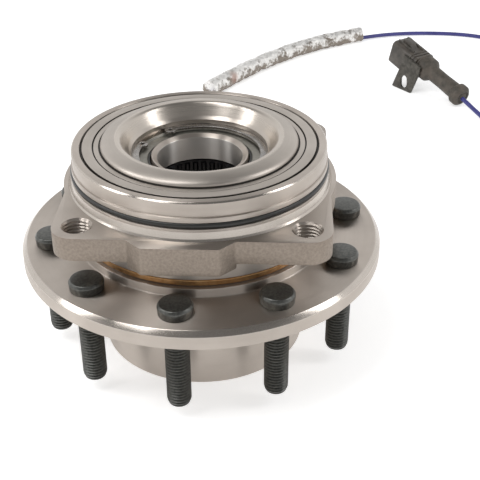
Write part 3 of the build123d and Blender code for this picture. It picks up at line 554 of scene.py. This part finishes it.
def makeHub(size):
    piece = lathe("hub", profile(size, [
        (size["noseBore"] + size["mouthChamfer"], "floor", 0.3), ("noseRadius", "floor", 1.0),
        ("noseRadius", 0, 1.4), ("flangeRadius", 0, 1.0),
        ("flangeRadius", size["flangeThickness"] - size["rimChamfer"], size["rimRound"]),
        (size["flangeRadius"] - size["rimChamfer"], "flangeThickness", size["rimRound"]),
        ("stepRadius", "flangeThickness", 1.0), ("stepRadius", "stepTop", 0.5),
        ("shoulderRadius", "stepTop", 0.4), ("shoulderRadius", "shoulderTop", 0.4),
        ("barrelRadius", "shoulderTop", 0.4), ("barrelRadius", "lipFoot", 0.4), ("lipRadius", "lipFoot", 0.4),
        ("lipRadius", "lipTop", 1.2), ("lipInner", "lipTop", 0.3), ("lipSlope", "barrelTop", 0.3),
        ("neckRadius", "barrelTop", 0.6), ("neckRadius", "neckTop", 0.35), ("neckRim", "neckTop", 0.3),
        ("boreRadius", "neckFlare", 0.5), ("boreRadius", "landBottom", 0.3), ("needleSeat", "landBottom", 0.2),
        ("needleSeat", "webTop", 0.5), ("webBore", "webTop", 0.5), ("webBore", "webBottom", 0.8),
        ("splineTip", "webBottom", 0.6), ("splineTip", "splineLow", 0.6), ("noseBore", "splineLow", 0.6),
        ("noseBore", "clipGrooveHigh", 0.2), ("clipGroove", "clipGrooveHigh", 0.2),
        ("clipGroove", "clipGrooveLow", 0.2), ("noseBore", "clipGrooveLow", 0.2),
        ("noseBore", size["floor"] + size["mouthChamfer"], 0.3),
    ]), steps=192)
    pitch = 2 * math.pi * size["splineTip"] / size["splineTeeth"]
    gap = (pitch - size["splineTooth"]) / 2
    root = gap * size["splineDraft"]
    inner = size["splineTip"] - size["splineOver"]
    slotOutline = [(inner, -gap), (size["splineRoot"], -root), (size["splineRoot"], root), (inner, gap)]
    slot = prism("splineSlot", slotOutline, size["splineLow"] - size["splineOver"], size["webBottom"])
    combine(piece, allRound(slot, size["splineTeeth"]))
    closeMesh(piece)

    flattest, steepest = size["chamferRise"]

    def choose(middle, radius, rise):
        if radius < size["brightBore"] and middle.z > size["landBottom"]:
            return 1
        return 2 if radius > size["brightRim"] and flattest < rise < steepest else 0

    finishPiece(piece, "flangeSteel", "hub", "wheel_hub",
                accents=("boreSteel", "edgeSteel"), choose=choose)


makeHub(hub)
say("hub turned")


studs = {
    "count": 10, "circle": 90, "phase": 4.8,  # degrees from the front towards the left
    "crest": 7.0, "root": 5.55, "pitch": 2.0, "threadHigh": 9,
    "tip": -50, "tipRadius": 5.9, "taperTop": -46.4, "shaped": 7.1, "shapedHigh": 8,
    "neck": 7.0, "neckLow": -0.5, "headFoot": 9.6, "headLow": 11, "headRadius": 9.9, "headSide": 15.9,
    "crown": 8.8, "crownHeight": 17.55, "headTop": 17.8,
}


def makeStuds(size):
    thread = threadedRod("studThread", size["crest"], size["root"], size["pitch"], size["tip"] - 1,
                         size["threadHigh"], steps=28)
    taper = profile(size, [
        (0, "tip", 0), ("tipRadius", "tip", 1.2), ("shaped", "taperTop", 2.0),
        ("shaped", "shapedHigh", 0), (0, "shapedHigh", 0)], steps=4)
    combine(thread, lathe("studTip", taper, steps=48, closed=False), "INTERSECT")
    head = profile(size, [
        (0, "neckLow", 0), ("neck", "neckLow", 0), ("neck", "headLow", 0.3),
        ("headFoot", "headLow", 0.4), ("headRadius", "headSide", 0.8), ("crown", "crownHeight", 0.9),
        (0, "headTop", 0)], steps=4)
    stud = combine(thread, lathe("studHead", head, steps=48, closed=False), "UNION")
    closeMesh(stud)
    stud.name = "wheelStuds"
    stud.data.transform(Matrix.Translation((0, -size["circle"] * mm, 0)))
    stud.data.transform(Matrix.Rotation(math.radians(-size["phase"]), 4, "Z"))
    finishPiece(allRound(stud, size["count"]), "blackStud", "hub", "wheel_studs", 40)


makeStuds(studs)
say("studs threaded")


housing = {
    "drumBottom": 21.4, "drumRadius": 74.5, "drumTop": 42.5, "cupRadius": 64.5,
    "landRadius": 61, "landLow": 31.9, "landHigh": 39.3,
    "earTop": 47.5, "earThickness": 13.8, "earHalf": 76, "earRound": 13.5, "earBreak": 0.45, "waist": 80,
    "filletRadius": 77.2, "filletTop": 48.6, "footRadius": 76.4, "seatRadius": 75.2, "footTop": 52.2,
    "grooveLow": 53.8, "grooveRadius": 72, "grooveHigh": 57.3, "guideRadius": 74.7, "guideTop": 60.2,
    "stepRadius": 73.65, "stepLow": 60.5, "stepHigh": 60.9,
    "pilotRadius": 74, "pilotLow": 61.1, "pilotTop": 69.2, "pilotEdge": 0.8, "coverRadius": 69.2, "coverSeat": 65.1,
    "boltCircle": 88, "tapCrest": 7.2, "tapRoot": 8.2, "tapPitch": 2.0, "tapOver": 3,
    "mouthRadius": 9.1, "mouthLow": 45.9, "mouthHigh": 48.1,
    "padLeft": -25.6, "padRight": 16.0, "padSlope": 8.5, "padReach": 84.5, "padRoot": 68.5, "padTop": 45.5,
    "frontPad": 16.5, "rearPad": 22.9, "padRound": 3,
    "coreRadius": 75.2, "coreLow": -10, "coreHigh": 90,  # keeps the ears out of the drum's bore
    "roughHigh": 47.4, "tapLimit": 9.2, "filletBand": (47.55, 52.1), "pilotRim": 73, "chamferRise": (0.1, 0.97),
}


def earOutline(size):
    half = size["earHalf"]
    corner = size["earRound"]
    slope = size["padSlope"]
    rounding = size["padRound"]
    side = math.acos(half / size["waist"])
    front = [(-half, -half, corner), (size["padLeft"] - slope, -half, rounding),
             (size["padLeft"], -size["padReach"], rounding), (size["padRight"], -size["padReach"], rounding),
             (size["padRight"] + slope, -half, rounding), (half, -half, corner)]
    right = [(size["waist"] * math.cos(turn), size["waist"] * math.sin(turn), 0)
             for turn in [side * (index / 4 - 1) for index in range(9)]]
    rearAndLeft = [(-x, -y, radius) for x, y, radius in front + right]
    return roundedOutline(front + right + rearAndLeft, steps=8)


def padOutline(size, side):  # side is 1 for the front pad and -1 for the rear one
    left = size["padLeft"]
    right = size["padRight"]
    slope = size["padSlope"]
    inner = -size["padRoot"]
    outer = -size["padReach"]
    corners = [(left - slope, outer + slope), (left, outer), (right, outer), (right + slope, outer + slope)]
    corners = [(*corner, size["padRound"]) for corner in corners]
    corners += [(right + slope, inner, 0), (left - slope, inner, 0)]
    return [point * side for point in roundedOutline(corners, steps=8)]


def makeHousing(size):
    pilotLedge = size["pilotTop"] - size["pilotEdge"]
    drum = lathe("housing", profile(size, [
        ("cupRadius", "drumBottom", 0.3), ("drumRadius", "drumBottom", 1.0), ("drumRadius", "drumTop", 0),
        ("filletRadius", "drumTop", 0), ("filletRadius", "earTop", 0), ("footRadius", "filletTop", 1.2),
        ("seatRadius", "footTop", 0.6), ("seatRadius", "grooveLow", 0.25), ("grooveRadius", "grooveLow", 0.3),
        ("grooveRadius", "grooveHigh", 0.3), ("guideRadius", "grooveHigh", 0.3), ("guideRadius", "guideTop", 0.3),
        ("stepRadius", "stepLow", 0.15), ("stepRadius", "stepHigh", 0.15), ("pilotRadius", "pilotLow", 0.15),
        ("pilotRadius", pilotLedge, 0.2), (size["pilotRadius"] - size["pilotEdge"], "pilotTop", 0.2),
        ("coverRadius", "pilotTop", 0.5), ("coverRadius", "coverSeat", 0.2), ("cupRadius", "coverSeat", 0.4),
        ("cupRadius", "landHigh", 0.2), ("landRadius", "landHigh", 0.4), ("landRadius", "landLow", 0.4),
        ("cupRadius", "landLow", 0.2),
    ]), steps=192)
    earLow = size["earTop"] - size["earThickness"]
    ears = prism("ears", earOutline(size), earLow, size["earTop"])
    for side, thickness in ((1, size["frontPad"]), (-1, size["rearPad"])):
        combine(ears, prism("pad", padOutline(size, side), size["earTop"] - thickness, size["padTop"]), "UNION")
    core = [(0, size["coreLow"]), (size["coreRadius"], size["coreLow"]),
            (size["coreRadius"], size["coreHigh"]), (0, size["coreHigh"])]
    combine(ears, lathe("core", core, steps=96, closed=False))
    closeMesh(ears, 10 * weldGap)
    breakEdges(ears, size["earBreak"])
    combine(drum, ears, "UNION")
    tap = threadedRod("tap", size["tapRoot"], size["tapCrest"], size["tapPitch"],
                      earLow - size["tapOver"], size["earTop"] + size["tapOver"])
    mouth = [(0, size["mouthLow"]), (size["tapCrest"], size["mouthLow"]),
             (size["mouthRadius"], size["mouthHigh"]), (0, size["mouthHigh"])]
    tap = combine(tap, lathe("mouth", mouth, steps=32, closed=False), "UNION")
    place = size["boltCircle"] / math.sqrt(2)
    taps = [turnedCopy(tap, 0, (x * place, y * place, 0)) for x in (-1, 1) for y in (-1, 1)]
    bpy.data.objects.remove(tap)
    combine(drum, join(taps))
    closeMesh(drum)

    filletLow, filletHigh = size["filletBand"]
    flattest, steepest = size["chamferRise"]

    def choose(middle, radius, rise):
        onSide = radius > size["filletRadius"] and middle.z < size["roughHigh"]
        inTap = math.hypot(abs(middle.x) - place, abs(middle.y) - place) < size["tapLimit"]
        if onSide and not inTap:
            return 1
        onFillet = filletLow < middle.z < filletHigh and radius > size["seatRadius"]
        onPilotEdge = middle.z > pilotLedge and radius > size["pilotRim"]
        return 2 if (onFillet or onPilotEdge) and flattest < rise < steepest else 0

    finishPiece(drum, "flangeSteel", "housing", "bearing_housing",
                accents=("forgedSteel", "edgeSteel"), choose=choose)  # rough from the forge, bright at the edges


makeHousing(housing)
say("housing forged and turned")


cover = {
    "rim": 69.2, "outer": 69.15, "seat": 65.1, "bandRadius": 62, "bandTop": 68.8,
    "seamInner": 67.85, "seamLow": 67.2, "grooveInner": 61.2, "grooveLow": 68.0,
    "footOuter": 58.3, "footSlope": 58.1, "footInner": 57.5, "footLow": 68.4, "footTop": 68.9, "crest": 49.0,
    "shadedSeam": (67.75, 69.05), "shadedGroove": (61.1, 62.05, 68.75), "shadedFoot": (57.3, 58.4, 69.2),
    "bead": [(57.35, 69.6), (57.0, 70.5), (56.0, 71.5), (54.2, 72.4), (52.0, 73.1), (49.6, 73.6), (47.6, 73.7),
             (46.2, 73.2), (45.1, 72.0), (44.1, 70.5), (43.1, 69.0), (42.1, 67.5), (41.3, 66.3), (40.4, 65.3),
             (39.65, 64.5)],
    "throat": 39.65, "clipTop": 62.0, "clipLow": 60.2, "clipGroove": 41.3, "sealSeat": 38.5, "sealStop": 36.5,
    "stopTop": 56.2, "bottom": 55.4, "throatWall": 43.6, "wallTop": 66.0,
    "under": [(46.8, 70.6), (51.3, 70.2), (56.7, 67.6), (63.5, 65.1)],
}


def makeCover(size):
    rim = profile(size, [
        ("outer", "seat", 0.3), ("outer", "seamLow", 0.2), ("seamInner", "seamLow", 0.2), ("seamInner", "rim", 0.35),
        ("bandRadius", "rim", 0.2), ("bandRadius", "grooveLow", 0.1), ("grooveInner", "grooveLow", 0.1),
        ("grooveInner", "bandTop", 0.15), ("footOuter", "footTop", 0.1), ("footSlope", "footLow", 0.1),
        ("footInner", "footLow", 0.1),
        (57.4, "footTop", 0), (40, 60, 0)], steps=4)[:-2]  # these two only steer the roundings beside them
    throat = [(size[radius], size[height]) for radius, height in (
        ("throat", "clipTop"), ("clipGroove", "clipTop"), ("clipGroove", "clipLow"), ("sealSeat", "clipLow"),
        ("sealSeat", "stopTop"), ("sealStop", "stopTop"), ("sealStop", "bottom"), ("throatWall", "bottom"),
        ("throatWall", "wallTop"))]
    piece = lathe("inboardCover", rim + smoothRun(size["bead"]) + throat + size["under"], steps=192)

    seamInner, seamTop = size["shadedSeam"]
    grooveInner, grooveOuter, grooveTop = size["shadedGroove"]
    footInner, footOuter, footTop = size["shadedFoot"]

    def choose(middle, radius, rise):
        inSeam = radius > seamInner and middle.z < seamTop
        inGroove = grooveInner < radius < grooveOuter and middle.z < grooveTop
        inFoot = footInner < radius < footOuter and middle.z < footTop
        # faces in the seam, the groove and the bead's foot take a near-black finish: painted shade in these recesses
        if middle.z > size["seat"] and (inSeam or inGroove or inFoot):
            return 2
        return 1 if radius > size["crest"] else 0

    finishPiece(piece, "dishSteel", "housing", "inboard_cover", 30,
                accents=("beadSteel", "oilDark"), choose=choose)


makeCover(cover)
say("cover pressed")


seals = {
    "caseInner": 61, "caseSkirt": 18.2, "caseWide": 65, "caseLow": 17.2, "bandRadius": 73.8, "bandTop": 19.9,
    "rollRadius": 74.5, "rollLow": 20.2, "caseTop": 21.4, "spigot": 64.45, "spigotInner": 62.55, "spigotTop": 23.4,
    "skinTop": 19.5, "axleOuter": 38.45, "axleRim": 36.85, "axleDish": 36.45, "axleInner": 30.6,
    "axleLow": 56.2, "axleTop": 60.2, "axleFace": 59.0,
    "lipFoot": 30.1, "lipInner": 29.3, "lipFace": 58.6, "lipContact": 28.7, "lipMiddle": 57.4,
}


def makeSeals(size):
    case = lathe("outboardSealCase", profile(size, [
        ("caseInner", "caseSkirt", 0.3), ("caseWide", "caseLow", 1.5), ("bandRadius", "caseLow", 1.1),
        ("bandRadius", "bandTop", 0.3), ("rollRadius", "rollLow", 0.5), ("rollRadius", "caseTop", 0.4),
        ("spigot", "caseTop", 0.3), ("spigot", "spigotTop", 0.6), ("spigotInner", "spigotTop", 0.4),
        ("spigotInner", "skinTop", 0.8), ("caseInner", "skinTop", 0.3),
    ], steps=4), steps=192)
    finishPiece(case, "brownCoat", "housing", "outboard_seal_case", 40)
    axleCase = lathe("axleSealCase", profile(size, [
        ("axleInner", "axleLow", 0.3), ("axleOuter", "axleLow", 0.6), ("axleOuter", "axleTop", 0.5),
        ("axleRim", "axleTop", 0.4), ("axleDish", "axleFace", 0.4), ("axleInner", "axleFace", 0.4),
    ]), steps=128)
    finishPiece(axleCase, "sealGrey", "housing", "axle_seal_case")
    lip = lathe("axleSealLip", profile(size, [
        ("lipFoot", "axleLow", 0.2), ("axleInner", "axleLow", 0.2), ("axleInner", "lipFace", 0.2),
        ("lipInner", "lipFace", 0.3), ("lipContact", "lipMiddle", 0.2),
    ]), steps=128)
    finishPiece(lip, "blackRubber", "housing", "axle_seal_lip")


makeSeals(seals)
say("seals pressed")


smallParts = {  # node: slot, finish, width of its broken edges
    "retaining_ring": ("spring_steel", "springSteel", 0.25),
    "speed_sensor": ("sensor_plastic", "sensorPlastic", 0.7),
    "sensor_screw": ("ground_steel", "groundSteel", 0.35),
    "connector_terminals": ("terminal_metal", "terminalTin", 0.12),
}


def roundedCopy(node, width):  # a CAD solid with its edges broken
    piece = plainCopy(nodes[node])
    piece.name = "finished_" + node
    pick(piece)
    bpy.ops.object.mode_set(mode="EDIT")
    bpy.ops.mesh.select_all(action="SELECT")
    bpy.ops.mesh.remove_doubles(threshold=weldGap)
    bpy.ops.mesh.dissolve_limited(angle_limit=math.radians(0.6))
    bpy.ops.object.mode_set(mode="OBJECT")
    breakEdges(piece, width)
    return piece


for node, (slotName, finish, width) in smallParts.items():
    finishPiece(roundedCopy(node, width), finish, "housing", node, 35)
say("small pieces finished")


relief = {
    "root": 4.6, "tip": 3.1, "start": 97.5, "length": 20, "rings": 5, "firstRing": 4, "lastGap": 3, "groove": 0.45,
    "grooveShape": ((0, 0), (0.3, 1), (1.1, 1), (1.4, 0)),  # along the relief, share of the groove's depth
    "height": 35.6,
}


def makeRelief(size):  # tapered rubber with grooves that let it bend
    outline = [(0, 0, 0), (size["root"], 0, 0.5)]
    pitch = (size["length"] - size["firstRing"] - size["lastGap"]) / size["rings"]
    for ring in range(size["rings"]):
        for along, depth in size["grooveShape"]:
            height = size["firstRing"] + ring * pitch + along
            radius = size["root"] + (size["tip"] - size["root"]) * height / size["length"]
            outline.append((radius - depth * size["groove"], height, 0.12))
    outline += [(size["tip"], size["length"], 0.6), (0, size["length"], 0)]
    piece = lathe("strainRelief", roundedOutline(outline, steps=2), steps=40, closed=False)
    piece.data.transform(Matrix.Rotation(math.radians(-90), 4, "X"))
    piece.data.transform(Matrix.Translation(Vector((0, size["start"], size["height"])) * mm))
    return finishPiece(piece, "blackRubber", "housing", "sensor_strain_relief")


reliefPiece = makeRelief(relief)


boot = {  # radii, and distances from the collar's face towards the shell
    "nose": 3.0, "noseStart": -0.8, "grooveInner": 4.4, "grooveOuter": 5.6, "grooveFloor": 1.1, "faceInner": 6.2,
    "faceOuter": 7.8, "collarRadius": 10.2, "collarFront": 2.8, "collarBack": 8.4, "collarFoot": 7.8,
    "neckStart": 10.4, "waistRadius": 7.3, "waist": 27.5, "neckRadius": 7.5, "neckEnd": 42,
    "bulgeRadius": 11.5, "bulgeStart": 47, "bulgeEnd": 54.4, "rimGroove": 10.8, "grooveStart": 54.8,
    "grooveEnd": 55.6, "rimStart": 56, "end": 58,
}


def makeBoot(size):
    outline = profile(size, [
        (0, "noseStart", 0), ("nose", "noseStart", 0.8), ("grooveInner", "grooveFloor", 0.5),
        ("grooveOuter", "grooveFloor", 0.5), ("faceInner", 0, 0.5), ("faceOuter", 0.2, 1.0),
        ("collarRadius", "collarFront", 1.8), ("collarRadius", "collarBack", 1.4),
        ("collarFoot", "neckStart", 1.4), ("waistRadius", "waist", 8), ("neckRadius", "neckEnd", 3),
        ("bulgeRadius", "bulgeStart", 2.5), ("bulgeRadius", "bulgeEnd", 0.8), ("rimGroove", "grooveStart", 0.4),
        ("rimGroove", "grooveEnd", 0.4), ("bulgeRadius", "rimStart", 0.6), ("bulgeRadius", "end", 1.0),
        (0, "end", 0),
    ], steps=4)
    piece = lathe("connectorBoot", outline, steps=64, closed=False)
    piece.data.transform(connectorPlace(0))
    return finishPiece(piece, "bootRubber", "housing", "connector_boot", 40)


bootPiece = makeBoot(boot)


shell = {  # over: of a cutting shape past the shell
    "half": 12, "drop": 3.5, "start": 58.05, "length": 34, "wall": 2.2, "mouthDepth": 20,
    "corner": 4, "innerCorner": 2.8, "grooves": (3, 6.5), "grooveWidth": 1.4, "grooveDepth": 0.7,
    "grooveCorner": 3.5, "grooveCore": (-1, 3), "grooveOver": 2, "mouthOver": 5, "edge": 0.35,
    "latchHalf": 3.5, "latchFoot": -0.4, "latchHeight": 3, "latchLength": 15, "latchSetback": 4, "latchRamp": 4,
    "latchStep": 1,
    "rail": (4.9, 6.4), "railFoot": -0.6, "railHeight": 1.6, "railStart": 10, "railSetback": 1,
}


def shellOutline(size, inset, corner):
    half = size["half"] - inset
    middle = -size["drop"]
    return roundedOutline([(-half, middle - half, corner), (half, middle - half, corner),
                           (half, middle + half, corner), (-half, middle + half, corner)], steps=8)


def makeShell(size):
    start = size["start"]
    end = start + size["length"]
    top = size["half"] - size["drop"]
    piece = prism("connectorShell", shellOutline(size, 0, size["corner"]), start, end)
    for setback in size["grooves"]:
        low = start + setback
        band = prism("groove", shellOutline(size, -size["grooveOver"], size["corner"]), low,
                     low + size["grooveWidth"])
        core = shellOutline(size, size["grooveDepth"], size["grooveCorner"])
        coreLow, coreHigh = [low + reach for reach in size["grooveCore"]]
        combine(band, prism("core", core, coreLow, coreHigh))
        combine(piece, band)
    mouth = shellOutline(size, size["wall"], size["innerCorner"])
    combine(piece, prism("mouth", mouth, end - size["mouthDepth"], end + size["mouthOver"]))
    half = size["latchHalf"]
    foot = top + size["latchFoot"]
    crown = top + size["latchHeight"]
    high = end - size["latchSetback"]
    low = high - size["latchLength"]
    ramp = drawLine("latch", [(-half, foot, low), (-half, crown, low + size["latchRamp"]),
                              (-half, crown, high - size["latchStep"]), (-half, foot, high)])
    extrudeFace(ramp, (2 * half * mm, 0, 0))
    combine(piece, ramp, "UNION")
    foot = top + size["railFoot"]
    crown = top + size["railHeight"]
    for side in (-1, 1):  # rails that guide the latch
        inner, outer = [side * reach for reach in size["rail"]]
        rail = prism("rail", [(inner, foot), (outer, foot), (outer, crown), (inner, crown)],
                     start + size["railStart"], end - size["railSetback"])
        combine(piece, rail, "UNION")
    closeMesh(piece)
    breakEdges(piece, size["edge"])
    piece.data.transform(connectorPlace(0))
    return finishPiece(piece, "shellPlastic", "housing", "connector_shell")


shellPiece = makeShell(shell)


tab = {
    "near": 12.05, "thick": 2.4, "start": 48, "length": 24, "top": 6.0, "bend": -3.0, "bendRound": 2.0,
    "lean": 10, "reach": 26, "edge": 0.35, "floorGap": 0.00005,
    "holeDown": 14.9, "holeAlong": 0.7, "holeLong": 11.6, "holeWide": 8.0, "holeTurn": 30, "holeReach": 20,
}


def tabHole(size):  # oblong, upright in the leaf
    wide = size["holeWide"] / 2
    long = size["holeLong"] / 2
    corners = [(wide, -long, wide), (wide, long, wide), (-wide, long, wide), (-wide, -long, wide)]
    hole = prism("tabHole", roundedOutline(corners, steps=8), -size["holeReach"], size["holeReach"])
    lean = math.radians(size["lean"])
    place = Vector((size["near"] + size["holeDown"] * math.sin(lean),
                    size["bend"] - size["holeDown"] * math.cos(lean),
                    size["start"] + size["length"] / 2 + size["holeAlong"])) * mm
    hole.data.transform(Matrix.Rotation(math.radians(size["holeTurn"]), 4, "Z"))
    hole.data.transform(Matrix.Rotation(math.radians(90), 4, "Y"))
    hole.data.transform(Matrix.Translation(place) @ Matrix.Rotation(lean, 4, "Z"))
    return hole


def makeTab(size):  # a leaf on the shell's side, bent out below it and cut level at the floor
    lean = math.radians(size["lean"])
    near = size["near"]
    far = near + size["thick"]
    low = (near + size["reach"] * math.sin(lean), size["bend"] - size["reach"] * math.cos(lean))
    lowFar = (low[0] + size["thick"] * math.cos(lean), low[1] + size["thick"] * math.sin(lean))
    outline = profile(size, [
        (near, "top", 0.5), (near, "bend", size["bendRound"]), (*low, 0), (*lowFar, 0),
        (far, "bend", size["bendRound"]), (far, "top", 0.5)], steps=4)
    piece = prism("connectorTab", outline, size["start"], size["start"] + size["length"])
    combine(piece, tabHole(size))
    piece.data.transform(connectorPlace(0))
    pick(piece)
    bpy.ops.object.mode_set(mode="EDIT")
    sliceLevel(floorHeight + size["floorGap"])
    bpy.ops.object.mode_set(mode="OBJECT")
    closeMesh(piece)
    breakEdges(piece, size["edge"])
    return finishPiece(piece, "tabSteel", "housing", "connector_tab")


tabPiece = makeTab(tab)
say("connector moulded")


heatSleeve = {
    "start": (-22.8, 364.1), "end": (135.9, 525.9), "radius": 7.5, "wall": 0.7, "step": 1.1, "roundness": 24,
    "sink": 0.2, "endGap": 0.5, "floorGap": 0.1,
    "swell": 0.8, "swellScale": 0.045, "swellBias": -0.1,
    "crease": 1.5, "creaseScale": 0.13, "creaseSeed": 4, "fine": 0.6, "fineScale": 0.42, "fineSeed": 9,
    "bump": 43, "bumpHeight": 1.6, "bumpWidth": 4.5, "bumpSide": (0.25, -0.85, 0.45),
}


def leadLine():  # points along the lead's own spline
    curve = leadPiece.data.copy()
    curve.bevel_depth = 0
    wire = bpy.data.objects.new("leadLine", curve)
    mesh = bpy.data.meshes.new_from_object(wire)
    points = [vertex.co.copy() for vertex in mesh.vertices]
    bpy.data.objects.remove(wire)
    return points


def evenRun(points, step):
    run = [points[0]]
    for point in points[1:]:
        while (point - run[-1]).length >= step:
            run.append(run[-1] + (point - run[-1]).normalized() * step)
    return run


def creased(point, scale, seed):  # sharp folds between flat patches
    folds = 0
    for octave, share in ((1, 0.6), (2.3, 0.4)):
        spot = point * scale * octave + Vector((seed, octave * 7, 0))
        folds += share * (1 - 2.2 * abs(noise.noise(spot)))
    return folds - 0.5


def sleevePush(size, spot, along, out):  # how far the foil stands off its round form
    push = size["swell"] * (noise.noise(spot * size["swellScale"]) + size["swellBias"])
    push += size["crease"] * creased(spot, size["creaseScale"], size["creaseSeed"])
    push += size["fine"] * creased(spot, size["fineScale"], size["fineSeed"])
    front = max(0.0, out.dot(Vector(size["bumpSide"])))
    return push + size["bumpHeight"] * front * math.exp(-((along - size["bump"]) / size["bumpWidth"]) ** 2)


def makeHeatSleeve(size):
    line = leadLine()
    first, last = [min(range(len(line)), key=lambda at, goal=goal: (line[at].xy - Vector(goal) * mm).length)
                   for goal in (size["start"], size["end"])]
    height = floorHeight + (size["radius"] - size["sink"]) * mm
    run = evenRun([Vector((point.x, point.y, height)) for point in line[first:last + 1]], size["step"] * mm)
    piece = newCurve("heatSleeve", "POLY", run, size["radius"] * mm, size["roundness"])
    piece.data.twist_mode = "Z_UP"
    pick(piece)
    bpy.ops.object.convert(target="MESH")
    closeMesh(piece)
    ends = {0: line[first], len(run) - 1: line[last]}
    for vertex in piece.data.vertices:
        at = min(range(len(run)), key=lambda index: (run[index] - vertex.co).length_squared)
        out = (vertex.co - run[at]).normalized()
        if at in ends:  # the ends are gathered round the lead
            vertex.co = ends[at] + out * (lead["radius"] + size["endGap"] * mm)
        else:
            push = sleevePush(size, vertex.co / mm, at * size["step"], out)
            vertex.co = run[at] + out * (size["radius"] + push) * mm
        vertex.co.z = max(vertex.co.z, floorHeight + size["floorGap"] * mm)
    wall = piece.modifiers.new("wall", "SOLIDIFY")
    wall.thickness = size["wall"] * mm
    wall.offset = -1
    applyModifiers(piece)
    return finishPiece(piece, "foil", "housing", "heat_sleeve", 50)


sleevePiece = makeHeatSleeve(heatSleeve)
say("heat sleeve creased")


stage = {"size": 12, "drop": 0.0002, "paleness": 0.93, "roughness": 0.9, "glow": 0.52}


def addStage(data):
    bpy.ops.object.select_all(action="DESELECT")
    bpy.ops.mesh.primitive_plane_add(size=data["size"], location=(0, 0, floorHeight - data["drop"]))
    floor = bpy.context.object
    floor.name = "paleFloor"
    material, tree, shader = newMaterial("paleFloor")
    path = addNode(tree, "ShaderNodeLightPath").outputs
    seen = compute(tree, "MAXIMUM", path["Is Camera Ray"], path["Is Glossy Ray"])
    shown = compute(tree, "MAXIMUM", seen, path["Is Transmission Ray"])
    setInputs(tree, shader, {
        "Base Color": (data["paleness"], data["paleness"], data["paleness"], 1),
        "Roughness": data["roughness"],
        "Emission Color": (1, 1, 1, 1),
        "Emission Strength": compute(tree, "MULTIPLY", shown, data["glow"]),
    })
    floor.data.materials.append(material)


lamps = {  # place, target, size, watts
    "topBox": ((-0.45, -0.35, 1.15), (-0.3, -0.2, 0), (0.42, 0.8), 5.4),
    "leftBox": ((-1.30, -0.15, 1.05), (-0.1, 0, 0), (0.4, 0.8), 5.4),
    "rightBox": ((1.25, -0.05, 1.05), (0.1, 0, 0), (0.35, 0.8), 4.6),
}


def addLamp(name, place, target, size, watts):
    bpy.ops.object.select_all(action="DESELECT")
    bpy.ops.object.light_add(type="AREA", location=place)
    lamp = bpy.context.object
    lamp.name = name
    lamp.data.shape = "RECTANGLE"
    lamp.data.size = size[0]
    lamp.data.size_y = size[1]
    lamp.data.energy = watts
    lamp.rotation_euler = (Vector(target) - Vector(place)).to_track_quat("-Z", "Y").to_euler()


room = {"strength": 0.45, "lean": -0.25, "edge": (0.42, 0.72), "ceiling": 0.2}


def lightWorld(data):  # white all round, with a dimmer ceiling in reflections
    world = bpy.data.worlds.new("studio")
    bpy.context.scene.world = world
    world.use_nodes = True
    tree = world.node_tree
    path = addNode(tree, "ShaderNodeLightPath").outputs
    sight = addNode(tree, "ShaderNodeTexCoord").outputs["Generated"]
    parts = addNode(tree, "ShaderNodeSeparateXYZ", {"Vector": sight}).outputs
    lean = compute(tree, "MULTIPLY_ADD", parts["Y"], data["lean"], parts["Z"])
    reflected = mapped(tree, lean, data["edge"], (1.0, data["ceiling"]))
    inRoom = addNode(tree, "ShaderNodeMix", {
        "Factor": path["Is Glossy Ray"], "A": data["strength"], "B": reflected}).outputs["Result"]
    direct = compute(tree, "MAXIMUM", path["Is Camera Ray"], path["Is Transmission Ray"])
    setInputs(tree, tree.nodes["Background"], {
        "Color": (1, 1, 1, 1), "Strength": compute(tree, "MAXIMUM", direct, inRoom)})


addStage(stage)
for name, setting in lamps.items():
    addLamp(name, *setting)
lightWorld(room)
bpy.context.scene.view_settings.view_transform = "Standard"
say("stage lit")
